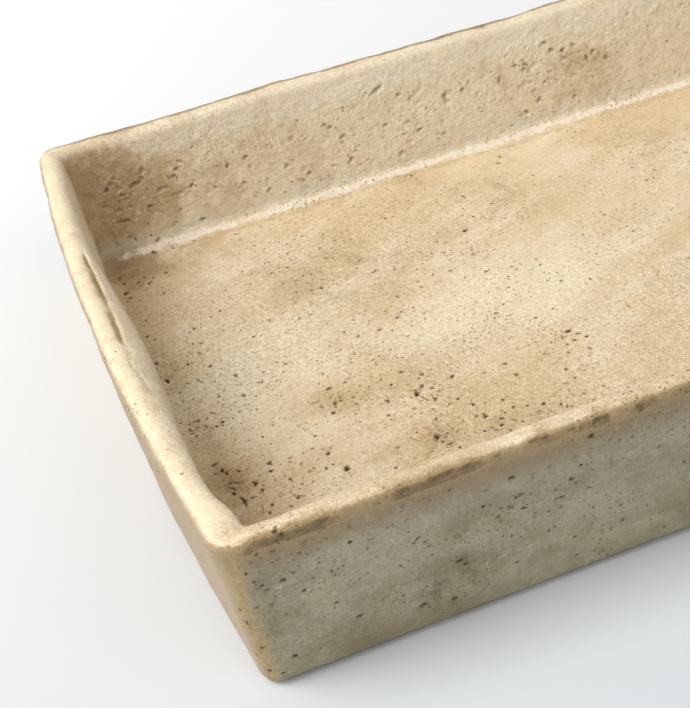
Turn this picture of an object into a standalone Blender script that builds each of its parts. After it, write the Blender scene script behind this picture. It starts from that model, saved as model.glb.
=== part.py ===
"""A hand-built earthenware tray: a base slab, four mitred wall slabs that stand on it,
and the rolls of clay (coils) that are pressed into its inner seams.

Metres, +Z up. The origin is on the table under the middle of the tray. The long walls are
the front (-Y) and the back (+Y), and the short ones are the left (-X) and the right (+X).
Every piece is first laid out plumb and straight, and then leans and bows as the others do.
"""
import math

import bmesh
import bpy
from mathutils import Vector

# Driving dimensions
HEIGHT = 0.050            # table to rim
BASE_LENGTH = 0.330       # over the foot, left to right, at the corners
BASE_DEPTH = 0.230        # over the foot, front to back, at the corners
WALL = 0.0072             # thickness of a wall slab
BASE_THICKNESS = 0.0065   # thickness of the base slab
RIM_SPREAD = 0.0055       # how far the rim stands out past the foot, on each side
SIDE_BOW = 0.0054         # how far the left and right walls swell at mid length
LONG_BOW = -0.0010        # the same of the front and back walls, which draw in a little
RIM_WAVE = 0.0005         # how far the hand-cut rim rises and falls
CORNER_ROUND = 0.0085     # outer radius of the upright corners
LEAST_ROUND = 0.0010      # radius of the corners that are too far in for an arc round the same centre
FOOT_ROUND = 0.0040       # radius of the edge that meets the table
RIM_ROUND = 0.0032        # radius of both edges of the rim
FLOOR_COIL = 0.0040       # radius of the hollow face of a coil between floor and wall
CORNER_COIL = 0.0050      # the same of a corner coil, at the floor
CORNER_COIL_TOP = 0.0030  # the same, where the corner coil fades out under the rim
COIL_EDGE = 0.0004        # thickness that is left at a coil's smoothed edges

# Clearances
SEAM_GAP = 0.0003         # left between two pieces of clay that touch
OVERRUN = 0.0020          # how far a cutter passes what it cuts

# Waves of the rim: turns around the tray, share of the height of the wave, share of a turn
RIM_WAVE_SHARES = ((2, 0.45, 0.10), (5, 0.35, 0.62), (9, 0.20, 0.35))

# How finely the shapes are divided
RUN_STEPS = 18
CORNER_STEPS = 4
EDGE_STEPS = 4
FACE_STEPS = 5

# Outward and along directions of the four walls
SIDES = {
    "front": (Vector((0.0, -1.0)), Vector((1.0, 0.0))),
    "back": (Vector((0.0, 1.0)), Vector((-1.0, 0.0))),
    "left": (Vector((-1.0, 0.0)), Vector((0.0, -1.0))),
    "right": (Vector((1.0, 0.0)), Vector((0.0, 1.0))),
}

# Linear colours of the glaze over the clay
FLOOR_GLAZE = (0.60, 0.47, 0.29)
WALL_GLAZE = (0.55, 0.44, 0.28)
SHADED_GLAZE = (0.40, 0.34, 0.23)
COIL_GLAZE = (0.68, 0.56, 0.39)


def clear_scene():
    for item in list(bpy.data.objects):
        bpy.data.objects.remove(item, do_unlink=True)


def collection(name):
    made = bpy.data.collections.new(name)
    bpy.context.scene.collection.children.link(made)
    return made


def glaze(name, colour, roughness):
    made = bpy.data.materials.new(name)
    made.use_nodes = True
    shader = made.node_tree.nodes["Principled BSDF"]
    shader.inputs["Base Color"].default_value = (*colour, 1.0)
    shader.inputs["Roughness"].default_value = roughness
    shader.inputs["Metallic"].default_value = 0.0
    return made


def arc(centre, radius, start, end, steps):
    """Points of an arc, both ends included. Angles are in degrees."""
    points = []
    for step in range(steps + 1):
        angle = math.radians(start + (end - start) * step / steps)
        points.append((centre[0] + radius * math.cos(angle), centre[1] + radius * math.sin(angle)))
    return points


def settle(point):
    """Lean a plumb point out with the walls, bow it with them and lift it with the rim's wave."""
    x, y, z = point
    rise = z / HEIGHT
    x += RIM_SPREAD * rise * x / (BASE_LENGTH / 2)
    y += RIM_SPREAD * rise * y / (BASE_DEPTH / 2)
    along, across = x / (BASE_LENGTH / 2), y / (BASE_DEPTH / 2)
    turn = math.atan2(across, along) / (2 * math.pi)
    wave = sum(share * math.sin(2 * math.pi * (count * turn + start))
               for count, share, start in RIM_WAVE_SHARES)
    return Vector((
        x + SIDE_BOW * along * (1 - across ** 2),
        y + LONG_BOW * across * (1 - along ** 2),
        z + RIM_WAVE * wave * rise ** 4,
    ))


def loft(loops):
    """A closed mesh through matching loops of plumb points, with a cap on the first and the last."""
    mesh = bmesh.new()
    rings = [[mesh.verts.new(settle(point)) for point in loop] for loop in loops]
    for ring, following in zip(rings, rings[1:]):
        count = len(ring)
        for index in range(count):
            after = (index + 1) % count
            mesh.faces.new((ring[index], ring[after], following[after], following[index]))
    mesh.faces.new(rings[0])
    mesh.faces.new(rings[-1])
    bmesh.ops.recalc_face_normals(mesh, faces=mesh.faces)
    return mesh


def add_piece(name, mesh, owner, material=None):
    """Turn a bmesh into an object, shaded smooth but for its real edges."""
    data = bpy.data.meshes.new(name)
    mesh.to_mesh(data)
    mesh.free()
    data.shade_smooth()
    data.set_sharp_from_angle(angle=math.radians(35))
    if material:
        data.materials.append(material)
    made = bpy.data.objects.new(name, data)
    owner.objects.link(made)
    return made


def half_sizes(outward):
    """Half of the foot along a wall and half of it across to that wall."""
    if outward.x:
        return BASE_DEPTH / 2, BASE_LENGTH / 2
    return BASE_LENGTH / 2, BASE_DEPTH / 2


def places_along():
    """Places along one wall, mitre to mitre, as a share of its straight run and a turn in radians."""
    turns = [math.radians(45) * step / CORNER_STEPS for step in range(CORNER_STEPS + 1)]
    first_corner = [(-1.0, -turn) for turn in reversed(turns)]
    last_corner = [(1.0, turn) for turn in turns]
    run = [(2 * step / RUN_STEPS - 1, 0.0) for step in range(1, RUN_STEPS)]
    return first_corner + run + last_corner


def along_wall(side, section, ends_in):
    """Sweep a section of (inset, height) pairs along one wall, mitred at both ends. The ends stop
    short of the mitre by ends_in, measured along the wall."""
    outward, along = SIDES[side]
    half_along, half_across = half_sizes(outward)
    loops = []
    for share, turn in places_along():
        loop = []
        for inset, height in section:
            radius = max(CORNER_ROUND - inset, LEAST_ROUND)
            sideways = share * (half_along - ends_in - inset - radius) + radius * math.sin(turn)
            out = half_across - inset - radius + radius * math.cos(turn)
            plan = along * sideways + outward * out
            loop.append((plan.x, plan.y, height))
        loops.append(loop)
    return loft(loops)


def foot_outline(inset):
    """The tray's plan outline, moved in by inset, front first and counterclockwise."""
    points = []
    for side in ("front", "right", "back", "left"):
        outward, along = SIDES[side]
        half_along, half_across = half_sizes(outward)
        radius = CORNER_ROUND - inset
        for share, turn in places_along()[:-1]:
            sideways = share * (half_along - inset - radius) + radius * math.sin(turn)
            out = half_across - inset - radius + radius * math.cos(turn)
            points.append(along * sideways + outward * out)
    return points


def make_base_slab(owner):
    """The slab that everything stands on, its lower edge rounded where it meets the table."""
    levels = [(FOOT_ROUND - inset, FOOT_ROUND + height)
              for inset, height in arc((0.0, 0.0), FOOT_ROUND, 270, 360, EDGE_STEPS)]
    levels.append((0.0, BASE_THICKNESS))
    loops = [[(point.x, point.y, height) for point in foot_outline(inset)] for inset, height in levels]
    return add_piece("base_slab", loft(loops), owner, glaze("floor_glaze", FLOOR_GLAZE, 0.55))


def wall_section():
    """A wall slab stands on the base slab and ends in a rim with two round edges."""
    foot = BASE_THICKNESS + SEAM_GAP
    outer_edge = arc((RIM_ROUND, HEIGHT - RIM_ROUND), RIM_ROUND, 180, 90, EDGE_STEPS)
    inner_edge = arc((WALL - RIM_ROUND, HEIGHT - RIM_ROUND), RIM_ROUND, 90, 0, EDGE_STEPS)
    return [(0.0, foot)] + outer_edge + inner_edge + [(WALL, foot)]


def make_wall(side, owner, colour, roughness):
    mesh = along_wall(side, wall_section(), SEAM_GAP / math.sqrt(2))
    return add_piece(side + "_wall", mesh, owner, glaze(side + "_wall_glaze", colour, roughness))


def floor_coil_section(grow=0.0, sink=0.0):
    """A floor coil fills the seam of wall and floor and has a hollow face. For a cutter the face
    moves out by grow, and the back sinks into the wall and the base by sink."""
    back = WALL + SEAM_GAP - sink
    under = BASE_THICKNESS + SEAM_GAP - sink
    reach = SEAM_GAP + COIL_EDGE + FLOOR_COIL + grow
    centre = (WALL + reach, BASE_THICKNESS + reach)
    face = arc(centre, FLOOR_COIL, 180, 270, FACE_STEPS)
    return [(back, under), (back, centre[1])] + face + [(centre[0], under)]


def make_floor_coil(side, owner):
    mesh = along_wall(side, floor_coil_section(), SEAM_GAP / math.sqrt(2))
    return add_piece(side + "_floor_coil", mesh, owner, glaze(side + "_coil_glaze", COIL_GLAZE, 0.5))


def make_floor_coil_cutter(side, owner):
    """The room that a corner coil leaves for a floor coil, with its clearance."""
    mesh = along_wall(side, floor_coil_section(grow=SEAM_GAP, sink=OVERRUN / 2), -OVERRUN)
    cutter = add_piece(side + "_coil_room", mesh, owner)
    cutter.hide_render = True
    cutter.display_type = "WIRE"
    return cutter


def corner_coil_section(face_radius):
    """A corner coil in plan, as distances from the inner faces of its two walls."""
    tip = SEAM_GAP + COIL_EDGE + face_radius
    inner_round = max(CORNER_ROUND - WALL, LEAST_ROUND)
    back = arc((inner_round, inner_round), inner_round - SEAM_GAP, 180, 270, EDGE_STEPS)
    face = arc((tip, tip), face_radius, 270, 180, FACE_STEPS)
    return [(SEAM_GAP, tip)] + back + [(tip, SEAM_GAP)] + face


def make_corner_coil(front_or_back, left_or_right, owner, cutters):
    """A coil up the inner corner of two walls, cut away where the floor coils pass under it."""
    across = SIDES[front_or_back][0]
    along = SIDES[left_or_right][0]
    levels = (
        (CORNER_COIL, BASE_THICKNESS + SEAM_GAP),
        (CORNER_COIL_TOP, HEIGHT - RIM_ROUND),
    )
    loops = []
    for face_radius, height in levels:
        loops.append([(along.x * (BASE_LENGTH / 2 - WALL - from_side),
                       across.y * (BASE_DEPTH / 2 - WALL - from_long), height)
                      for from_side, from_long in corner_coil_section(face_radius)])
    name = front_or_back + "_" + left_or_right + "_corner_coil"
    coil = add_piece(name, loft(loops), owner, glaze(name + "_glaze", COIL_GLAZE, 0.5))
    for side in (front_or_back, left_or_right):
        cut = coil.modifiers.new(side + "_floor_coil_room", "BOOLEAN")
        cut.operation = "DIFFERENCE"
        cut.solver = "EXACT"
        cut.object = cutters[side]
    return coil


def build():
    clear_scene()
    tray = collection("earthenware_tray")
    rooms = collection("cutters")
    make_base_slab(tray)
    make_wall("front", tray, SHADED_GLAZE, 0.6)
    make_wall("back", tray, WALL_GLAZE, 0.55)
    make_wall("left", tray, WALL_GLAZE, 0.5)
    make_wall("right", tray, WALL_GLAZE, 0.55)
    cutters = {side: make_floor_coil_cutter(side, rooms) for side in SIDES}
    for side in SIDES:
        make_floor_coil(side, tray)
    for front_or_back in ("front", "back"):
        for left_or_right in ("left", "right"):
            make_corner_coil(front_or_back, left_or_right, tray, cutters)


build()
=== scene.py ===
"""The look of a hand-built earthenware tray. Its glazed skin is modelled as one continuous surface,
with the pits, dents, gouges and creases of worked clay, and is then cut along the seams of the
slabs and coils that the tray was made from.

Blender works in metres. The tray's own sizes below are in millimetres.
"""

import math
import random

import bmesh
import bpy
import numpy as np
from mathutils import Matrix, Vector, geometry, kdtree
from mathutils.bvhtree import BVHTree


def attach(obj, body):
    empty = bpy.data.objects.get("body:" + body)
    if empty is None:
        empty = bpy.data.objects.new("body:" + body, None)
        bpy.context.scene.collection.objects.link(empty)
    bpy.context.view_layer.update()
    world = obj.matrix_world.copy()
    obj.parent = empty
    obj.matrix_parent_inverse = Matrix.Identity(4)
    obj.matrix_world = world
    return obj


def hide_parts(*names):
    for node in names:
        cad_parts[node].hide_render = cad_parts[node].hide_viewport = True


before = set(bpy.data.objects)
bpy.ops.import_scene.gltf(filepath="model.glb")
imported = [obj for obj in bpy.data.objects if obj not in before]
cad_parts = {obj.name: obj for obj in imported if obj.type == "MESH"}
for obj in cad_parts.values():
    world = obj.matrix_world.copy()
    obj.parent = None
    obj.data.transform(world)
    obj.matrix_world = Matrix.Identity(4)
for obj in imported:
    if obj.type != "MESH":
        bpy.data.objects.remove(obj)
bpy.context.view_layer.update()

MM = 0.001

# The slabs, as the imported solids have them, but for tighter rounds along the outer edges
HEIGHT = 50.0
BASE_LENGTH = 330.0
BASE_DEPTH = 230.0
WALL = 7.2
BASE_THICKNESS = 6.5
RIM_SPREAD = 5.5
SIDE_BOW = 5.4
LONG_BOW = -1.0
RIM_WAVE = 0.5
RIM_WAVE_SHARES = ((2, 0.45, 0.10), (5, 0.35, 0.62), (9, 0.20, 0.35))
CORNER_ROUND = 7.6        # of the upright outer edges, at the rim
CORNER_ROUND_FOOT = 5.2   # the same, at the foot
FOOT_ROUND = 3.6
RIM_ROUND = 3.2

# The smoothed coils in the seams
COIL_ROUND = 3.5          # hollow face between floor and wall
INNER_ROUND_RIM = 3.4     # round of the upright inner corners, just under the rim
INNER_ROUND_FLOOR = 6.4   # the same, where they meet the floor coils
TOE_ROUND = 2.9           # the same, where the floor coils fade out on the floor

# Clay folded inwards along the rims of the two end walls
FOLD = 4.3                # how far it reaches in, at most
FOLD_AT = -16.0           # where along y it does
FOLD_SPREAD = 46.0        # how far from there it has mostly faded
FOLD_SLOPE = 0.35         # how much it sinks for each mm that it reaches in
CORNER_SWELL = 2.3        # how far the rim swells in at the two front corners

# How finely the skin is divided
FACE_STEP = 2.4
RIM_STEP = 0.9
EDGE_STEP = 1.2
UNDER_STEP = 9.0
CORNER_STEPS = 6
CORNER_SPAN = 6.0         # length of the skin's flat map that stands for half a corner
SEAM_DEPTH = 1.3          # how far the hidden ends of the seams lie behind the slabs' faces
SEAM_ROUND = 2.0          # round of their upright edges, under the walls
ROW_SHARE = 0.87          # distance of two rows of points, as a share of the step
JITTER = 0.12             # how far points stray from their rows, as a share of the step
RINGS_APART = 0.24        # least distance between points round the marks
GRID_APART = 0.55         # least distance of other points from these and from each other
RING_MARGIN = 0.30        # least distance of the points round marks from seams
WALL_MARGIN = 0.45        # the same, of the other points of the walls
FLAT_MARGIN = 0.50        # the same, of the other points of the floor and the underside

SIDES = {
    "front": (np.array([0.0, -1.0]), np.array([1.0, 0.0])),
    "right": (np.array([1.0, 0.0]), np.array([0.0, 1.0])),
    "back": (np.array([0.0, 1.0]), np.array([-1.0, 0.0])),
    "left": (np.array([-1.0, 0.0]), np.array([0.0, -1.0])),
}
SIDE_NAMES = list(SIDES)
CORNERS = ("front_right", "back_right", "back_left", "front_left")   # where each side ends

# The camera, fitted to the tray's edges in the photograph
PHOTO_WIDTH = 690
PHOTO_HEIGHT = 708
SENSOR = 36.0
LENS = 77.0
CAMERA_AIM = (-109.8, -24.5, 25.0)
CAMERA_DISTANCE = 432.4
CAMERA_YAW = 13.23
CAMERA_PITCH = 32.93
CAMERA_ROLL = -11.11


# The section of a wall, from the foot over the rim to the floor

def arc_points(centre, radius, start, end, count=24):
    angles = np.radians(np.linspace(start, end, count + 1))
    return [(centre[0] + radius * math.cos(a), centre[1] + radius * math.sin(a)) for a in angles]


COIL_TOP = BASE_THICKNESS + COIL_ROUND
COIL_TOE = WALL + COIL_ROUND
STRETCHES = {
    "foot": arc_points((FOOT_ROUND, FOOT_ROUND), FOOT_ROUND, 270, 180),
    "base": [(0.0, FOOT_ROUND), (0.0, BASE_THICKNESS)],
    "outer": [(0.0, BASE_THICKNESS), (0.0, HEIGHT - RIM_ROUND)],
    "outer_rim": arc_points((RIM_ROUND, HEIGHT - RIM_ROUND), RIM_ROUND, 180, 90),
    "rim": [(RIM_ROUND, HEIGHT), (WALL - RIM_ROUND, HEIGHT)],
    "inner_rim": arc_points((WALL - RIM_ROUND, HEIGHT - RIM_ROUND), RIM_ROUND, 90, 0),
    "inner": [(WALL, HEIGHT - RIM_ROUND), (WALL, COIL_TOP)],
    "coil": arc_points((COIL_TOE, COIL_TOP), COIL_ROUND, 180, 270),
}


def measured_section():
    """Distance along the section, inset and height at each of its points, and where stretches end."""
    points = [STRETCHES["foot"][0]]
    ends = {}
    for name, stretch in STRETCHES.items():
        points += stretch[1:]
        ends[name] = len(points) - 1
    points = np.array(points)
    steps = np.hypot(*np.diff(points, axis=0).T)
    along = np.concatenate([[0.0], np.cumsum(steps)])
    return along, points, {name: along[index] for name, index in ends.items()}


SECTION_AT, SECTION, ENDS = measured_section()
ROUND_AT = [0.0, ENDS["foot"], ENDS["outer"], ENDS["rim"], ENDS["inner_rim"], ENDS["inner"], ENDS["coil"]]
ROUNDS = [CORNER_ROUND_FOOT - FOOT_ROUND, CORNER_ROUND_FOOT, CORNER_ROUND, INNER_ROUND_RIM,
          INNER_ROUND_RIM, INNER_ROUND_FLOOR, TOE_ROUND]


def half_sizes(side):
    if SIDES[side][0][0]:
        return BASE_DEPTH / 2, BASE_LENGTH / 2
    return BASE_LENGTH / 2, BASE_DEPTH / 2


def run_length(side):
    return 2 * (half_sizes(side)[0] - CORNER_ROUND)


def map_length(side):
    """Length of the flat map of one wall, mitre to mitre."""
    return run_length(side) + 2 * CORNER_SPAN


def swept(side, u, inset, height, rounding):
    """Plumb points of a wall: u runs mitre to mitre along the flat map."""
    outward, along = SIDES[side]
    half_along, half_across = half_sizes(side)
    run = run_length(side)
    share = np.clip(2 * (u - CORNER_SPAN) / run - 1, -1, 1)
    start_turn = np.minimum(u - CORNER_SPAN, 0)
    end_turn = np.maximum(u - CORNER_SPAN - run, 0)
    turn = (start_turn + end_turn) / CORNER_SPAN * math.radians(45)
    sideways = share * (half_along - inset - rounding) + rounding * np.sin(turn)
    out = half_across - inset - rounding + rounding * np.cos(turn)
    plan = np.outer(sideways, along) + np.outer(out, outward)
    return np.column_stack([plan, height * np.ones(len(plan))])


def wall_points(side, u, s):
    """Plumb points of a wall's skin: s runs from the foot over the rim to the floor."""
    u, s = np.asarray(u, float), np.asarray(s, float)
    inset = np.interp(s, SECTION_AT, SECTION[:, 0])
    height = np.interp(s, SECTION_AT, SECTION[:, 1])
    return swept(side, u, inset, height, np.interp(s, ROUND_AT, ROUNDS))


def settle(points):
    """Lean plumb points out with the walls, bow them and lift them with the rim's wave."""
    x, y, z = points.T
    rise = z / HEIGHT
    x = x + RIM_SPREAD * rise * x / (BASE_LENGTH / 2)
    y = y + RIM_SPREAD * rise * y / (BASE_DEPTH / 2)
    along, across = x / (BASE_LENGTH / 2), y / (BASE_DEPTH / 2)
    turn = np.arctan2(across, along) / (2 * math.pi)
    wave = sum(share * np.sin(2 * math.pi * (count * turn + start))
               for count, share, start in RIM_WAVE_SHARES)
    return np.column_stack([
        x + SIDE_BOW * along * (1 - across ** 2),
        y + LONG_BOW * across * (1 - along ** 2),
        z + RIM_WAVE * wave * rise ** 4,
    ])


def ease(value, low, high):
    share = np.clip((value - low) / (high - low), 0, 1)
    return share * share * (3 - 2 * share)


def hump(value, centre, width):
    return np.exp(-((value - centre) / width) ** 2)


def between(value, start, full, fading, end):
    """0 up to start, 1 from full to fading and 0 again from end on, smooth in between."""
    return ease(value, start, full) * (1 - ease(value, fading, end))


def folded(points, across):
    """Settled points with the inner edge of the end walls' rims drawn in over the floor."""
    x, y = points[:, 0], points[:, 1]
    inner = between(across, ENDS["outer_rim"] - 1.5, ENDS["inner_rim"] - 1,
                    ENDS["inner_rim"] + 3, ENDS["inner_rim"] + 17)
    end_wall = 1 - ease(BASE_LENGTH / 2 - np.abs(x), 10, 34)
    fold = FOLD * hump(y, FOLD_AT, FOLD_SPREAD)
    reach = fold + CORNER_SWELL * hump(y + BASE_DEPTH / 2, WALL, 9)
    drop = fold * FOLD_SLOPE
    return points - (inner * end_wall)[:, None] * np.column_stack([np.sign(x) * reach, 0 * x, drop])


def skin_points(domain, flat):
    """Settled points of one domain of the skin: a wall's flat map, the floor or the underside."""
    flat = np.asarray(flat, float).reshape(-1, 2)
    if domain in SIDES:
        return folded(settle(wall_points(domain, flat[:, 0], flat[:, 1])), flat[:, 1])
    height = BASE_THICKNESS if domain == "floor" else 0.0
    return settle(np.column_stack([flat, np.full(len(flat), height)]))


# Places of the photograph on the tray

def camera_axes():
    yaw, pitch, roll = (math.radians(a) for a in (CAMERA_YAW, CAMERA_PITCH, CAMERA_ROLL))
    ahead = Vector((math.sin(yaw) * math.cos(pitch), math.cos(yaw) * math.cos(pitch), -math.sin(pitch)))
    level = Vector((math.cos(yaw), -math.sin(yaw), 0.0))
    upright = level.cross(ahead)
    right = level * math.cos(roll) + upright * math.sin(roll)
    up = -level * math.sin(roll) + upright * math.cos(roll)
    return ahead, right, up


AHEAD, RIGHT, UP = camera_axes()
CAMERA_PLACE = Vector(CAMERA_AIM) - AHEAD * CAMERA_DISTANCE
FOCAL_PIXELS = LENS / SENSOR * PHOTO_HEIGHT


# Points across the coarse copy of the skin: both ways on each wall, and along and across the floor
WALL_GUIDE = 90
FLOOR_GUIDE = (40, 30)


class Guide:
    """A coarse copy of the skin, on which a pixel of the photograph finds its place."""

    def __init__(self):
        self.corners = []
        self.flats = []
        self.domains = []
        faces = []
        for side in SIDES:
            us = np.linspace(0, map_length(side), WALL_GUIDE)
            ss = np.linspace(0, ENDS["coil"], WALL_GUIDE)
            faces += self.grid(side, us, ss)
        half_x = BASE_LENGTH / 2 - COIL_TOE
        half_y = BASE_DEPTH / 2 - COIL_TOE
        xs, ys = (np.linspace(-half, half, count) for half, count in zip((half_x, half_y), FLOOR_GUIDE))
        faces += self.grid("floor", xs, ys)
        self.faces = faces
        self.tree = BVHTree.FromPolygons(self.corners, faces)

    def grid(self, domain, us, vs):
        first = len(self.corners)
        flat = [(u, v) for u in us for v in vs]
        self.corners += [Vector(p) for p in skin_points(domain, flat)]
        self.flats += flat
        faces = []
        for i in range(len(us) - 1):
            for j in range(len(vs) - 1):
                a = first + i * len(vs) + j
                b = a + len(vs)
                faces += [(a, b, b + 1), (a, b + 1, a + 1)]
        self.domains += [domain] * (2 * (len(us) - 1) * (len(vs) - 1))
        return faces

    def find(self, pixel_x, pixel_y):
        """The domain and the flat place that the camera sees at a pixel, or None."""
        across = (pixel_x - PHOTO_WIDTH / 2) / FOCAL_PIXELS
        down = (pixel_y - PHOTO_HEIGHT / 2) / FOCAL_PIXELS
        ray = (AHEAD + RIGHT * across - UP * down).normalized()
        hit, _, index, _ = self.tree.ray_cast(CAMERA_PLACE, ray)
        if index is None:
            return None
        corners = self.faces[index]
        flat = geometry.barycentric_transform(
            hit, *(self.corners[c] for c in corners),
            *(Vector((*self.flats[c], 0.0)) for c in corners))
        return self.domains[index], (flat.x, flat.y)


# How the marks in the clay shape the mesh
RING_SHARES = (0.3, 0.6, 0.9, 1.15, 1.6)     # sizes of the rings of points round a mark
RING_STEP = 0.6           # between points on a ring
LIP_SHARE = 1.15          # where the pushed-up edge lies, as a share of the mark's size
LIP_WIDTH = 0.18
HALO_WIDTH = 1.25         # how far the brown reaches round a mark, as a share of its size
MARK_REACH_IN = 2.4       # faces that lie further behind or before a mark are left alone
CREASE_STEP = 0.55        # between points along a crease
CREASE_OFFSETS = (0.0, 0.55, -0.55, 1.1, -1.1, 1.8, -1.8, 2.8, -2.8, 4.2, -4.2, 5.8, -5.8)
FOLD_REACH = 2.7          # width of the sunk slope beside a fold


class Mark:
    """A hollow, or below zero depth a bump, with a length, a width, a depth and a darkness."""

    def __init__(self, domain, flat, length, width, depth, dark, turn=0.0, lip=0.1, lean=0.0, ragged=0.10):
        self.domain = domain
        self.flat = np.array(flat, float)
        self.length = length      # half of it, in mm
        self.width = width        # half of it, in mm
        self.depth = depth
        self.dark = dark
        self.turn = turn          # of the length, on the flat map, in degrees
        self.lip = lip            # height of the pushed-up edge, as a share of the depth
        self.lean = lean          # how much deeper, and darker with painted shade, the hollow is towards its far side; below zero its other side gets a painted highlight
        self.ragged = ragged      # how uneven the outline is
        self.phase = 7.3 * self.flat[0] + 3.1 * self.flat[1]
        self.place_on_skin()

    def flat_axes(self):
        """Directions of the length and the width on the flat map."""
        turn = math.radians(self.turn)
        return np.array([math.cos(turn), math.sin(turn)]), np.array([-math.sin(turn), math.cos(turn)])

    def place_on_skin(self):
        step = 0.2
        along, across = self.flat_axes()
        centre, ahead, aside = skin_points(
            self.domain, [self.flat, self.flat + along * step, self.flat + across * step])
        self.centre = centre
        self.normal = np.cross(ahead - centre, aside - centre)
        self.normal /= np.linalg.norm(self.normal)
        self.along = (ahead - centre) / np.linalg.norm(ahead - centre)
        self.across = np.cross(self.normal, self.along)

    def rings(self):
        """Flat points that let the mesh follow the hollow, as rings round its centre."""
        along, across = self.flat_axes()
        points = [self.flat]
        size = (self.length + self.width) / 2
        for share in RING_SHARES:
            count = int(np.clip(round(2 * math.pi * share * size / RING_STEP), 5, 18))
            for index in range(count):
                angle = 2 * math.pi * (index + share) / count
                points.append(self.flat + along * (share * self.length * math.cos(angle))
                              + across * (share * self.width * math.sin(angle)))
        return points

    def press(self, places):
        """Depth of the hollow at places near it, and how dark it is, or below zero how strong its painted
        highlight is.
        """
        offset = places - self.centre
        x = offset @ self.along / self.length
        y = offset @ self.across / self.width
        angle = np.arctan2(y, x)
        uneven = np.sin(3 * angle + self.phase) + 0.6 * np.sin(5 * angle + 2 * self.phase)
        reach = np.sqrt(x ** 2 + y ** 2) * (1 + self.ragged * uneven)
        near = np.abs(offset @ self.normal) < MARK_REACH_IN
        return near * self.depth * self.relief(reach, y), near * self.darkness(reach, y)

    def relief(self, reach, y):
        """Height over the clay, as a share of the depth: a bowl with a pushed-up edge."""
        bowl = np.clip(1 - reach ** 2, 0, 1) ** 0.8 * (1 + self.lean * np.clip(y, -1, 1))
        return self.lip * hump(reach, LIP_SHARE, LIP_WIDTH) - bowl

    def darkness(self, reach, y):
        """How dark the hollow and the brown round it are, darker on one side as painted shade when it leans,
        less a painted highlight on its other side.
        """
        inside = np.clip((1.05 - reach) / 0.55, 0, 1)
        halo = hump(reach, 0, HALO_WIDTH)
        brown = self.dark * (0.75 * inside + 0.25 * halo) * np.clip(1 + 1.8 * self.lean * y, 0, 1.6)
        painted_highlight = inside * np.clip(-1.1 * self.lean * y - 0.1, 0, 1) * (self.lean < 0)
        return brown - painted_highlight


class Crease:
    """A line along which clay was torn or folded over: a groove, with a sunk slope beside a fold."""

    def __init__(self, domain, flats, width, depth, dark, fold=0.0):
        self.domain = domain
        self.flats = np.array(flats, float)
        self.width = width        # half of the groove's
        self.depth = depth
        self.dark = dark
        self.fold = fold          # depth of the slope, as a share of the groove's
        self.line = skin_points(domain, self.flats)
        self.centre = self.line.mean(axis=0)
        self.length = np.linalg.norm(self.line - self.centre, axis=1).max() / 1.9 + 3 * width

    def rings(self):
        """Flat points beside the line."""
        points = []
        for start, end in zip(self.flats, self.flats[1:]):
            step = end - start
            length = np.linalg.norm(step)
            aside = np.array([-step[1], step[0]]) / length
            for share in np.arange(0.0, 1.0, CREASE_STEP / length):
                points += [start + step * share + aside * (self.width * offset) for offset in CREASE_OFFSETS]
        return points

    def measure(self, places):
        """Distance of the places from the line, and the side of it on which each lies."""
        nearest = np.full(len(places), 1e9)
        side = np.zeros(len(places))
        for start, end in zip(self.line, self.line[1:]):
            step = end - start
            share = np.clip((places - start) @ step / (step @ step), 0, 1)
            offset = places - start - share[:, None] * step
            distance = np.linalg.norm(offset, axis=1)
            side = np.where(distance < nearest, np.sign(offset[:, 0]), side)
            nearest = np.minimum(nearest, distance)
        return nearest, side

    def press(self, places):
        """Depth and darkness of the crease at places near it. The brown of a fold is kept in self.brown."""
        nearest, side = self.measure(places)
        from_end = np.minimum(*(np.linalg.norm(places - self.line[i], axis=1) for i in (0, -1)))
        fade = 0.3 + 0.7 * ease(from_end, 0, min(6.0, 0.35 * self.length))
        reach = np.abs(nearest / self.width + 0.3 * side * waves(places, 5, 21, 8))
        fade *= np.clip(0.85 + 0.22 * waves(places, 13, 22, 8), 0.4, 1.2)
        groove = np.exp(-reach ** 2)
        edge = 0.15 * hump(reach, 2.2, 1.0) * (side > 0)
        slope = self.fold * np.clip(1 - nearest / FOLD_REACH, 0, 1) ** 1.5 * (side <= 0)
        self.brown = np.clip(1.6 * fade * slope, 0, 1.0)
        darkness = fade * self.dark * np.exp(-(1.1 * reach) ** 2)
        return fade * self.depth * (edge - np.maximum(groove, slope)), darkness


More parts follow.
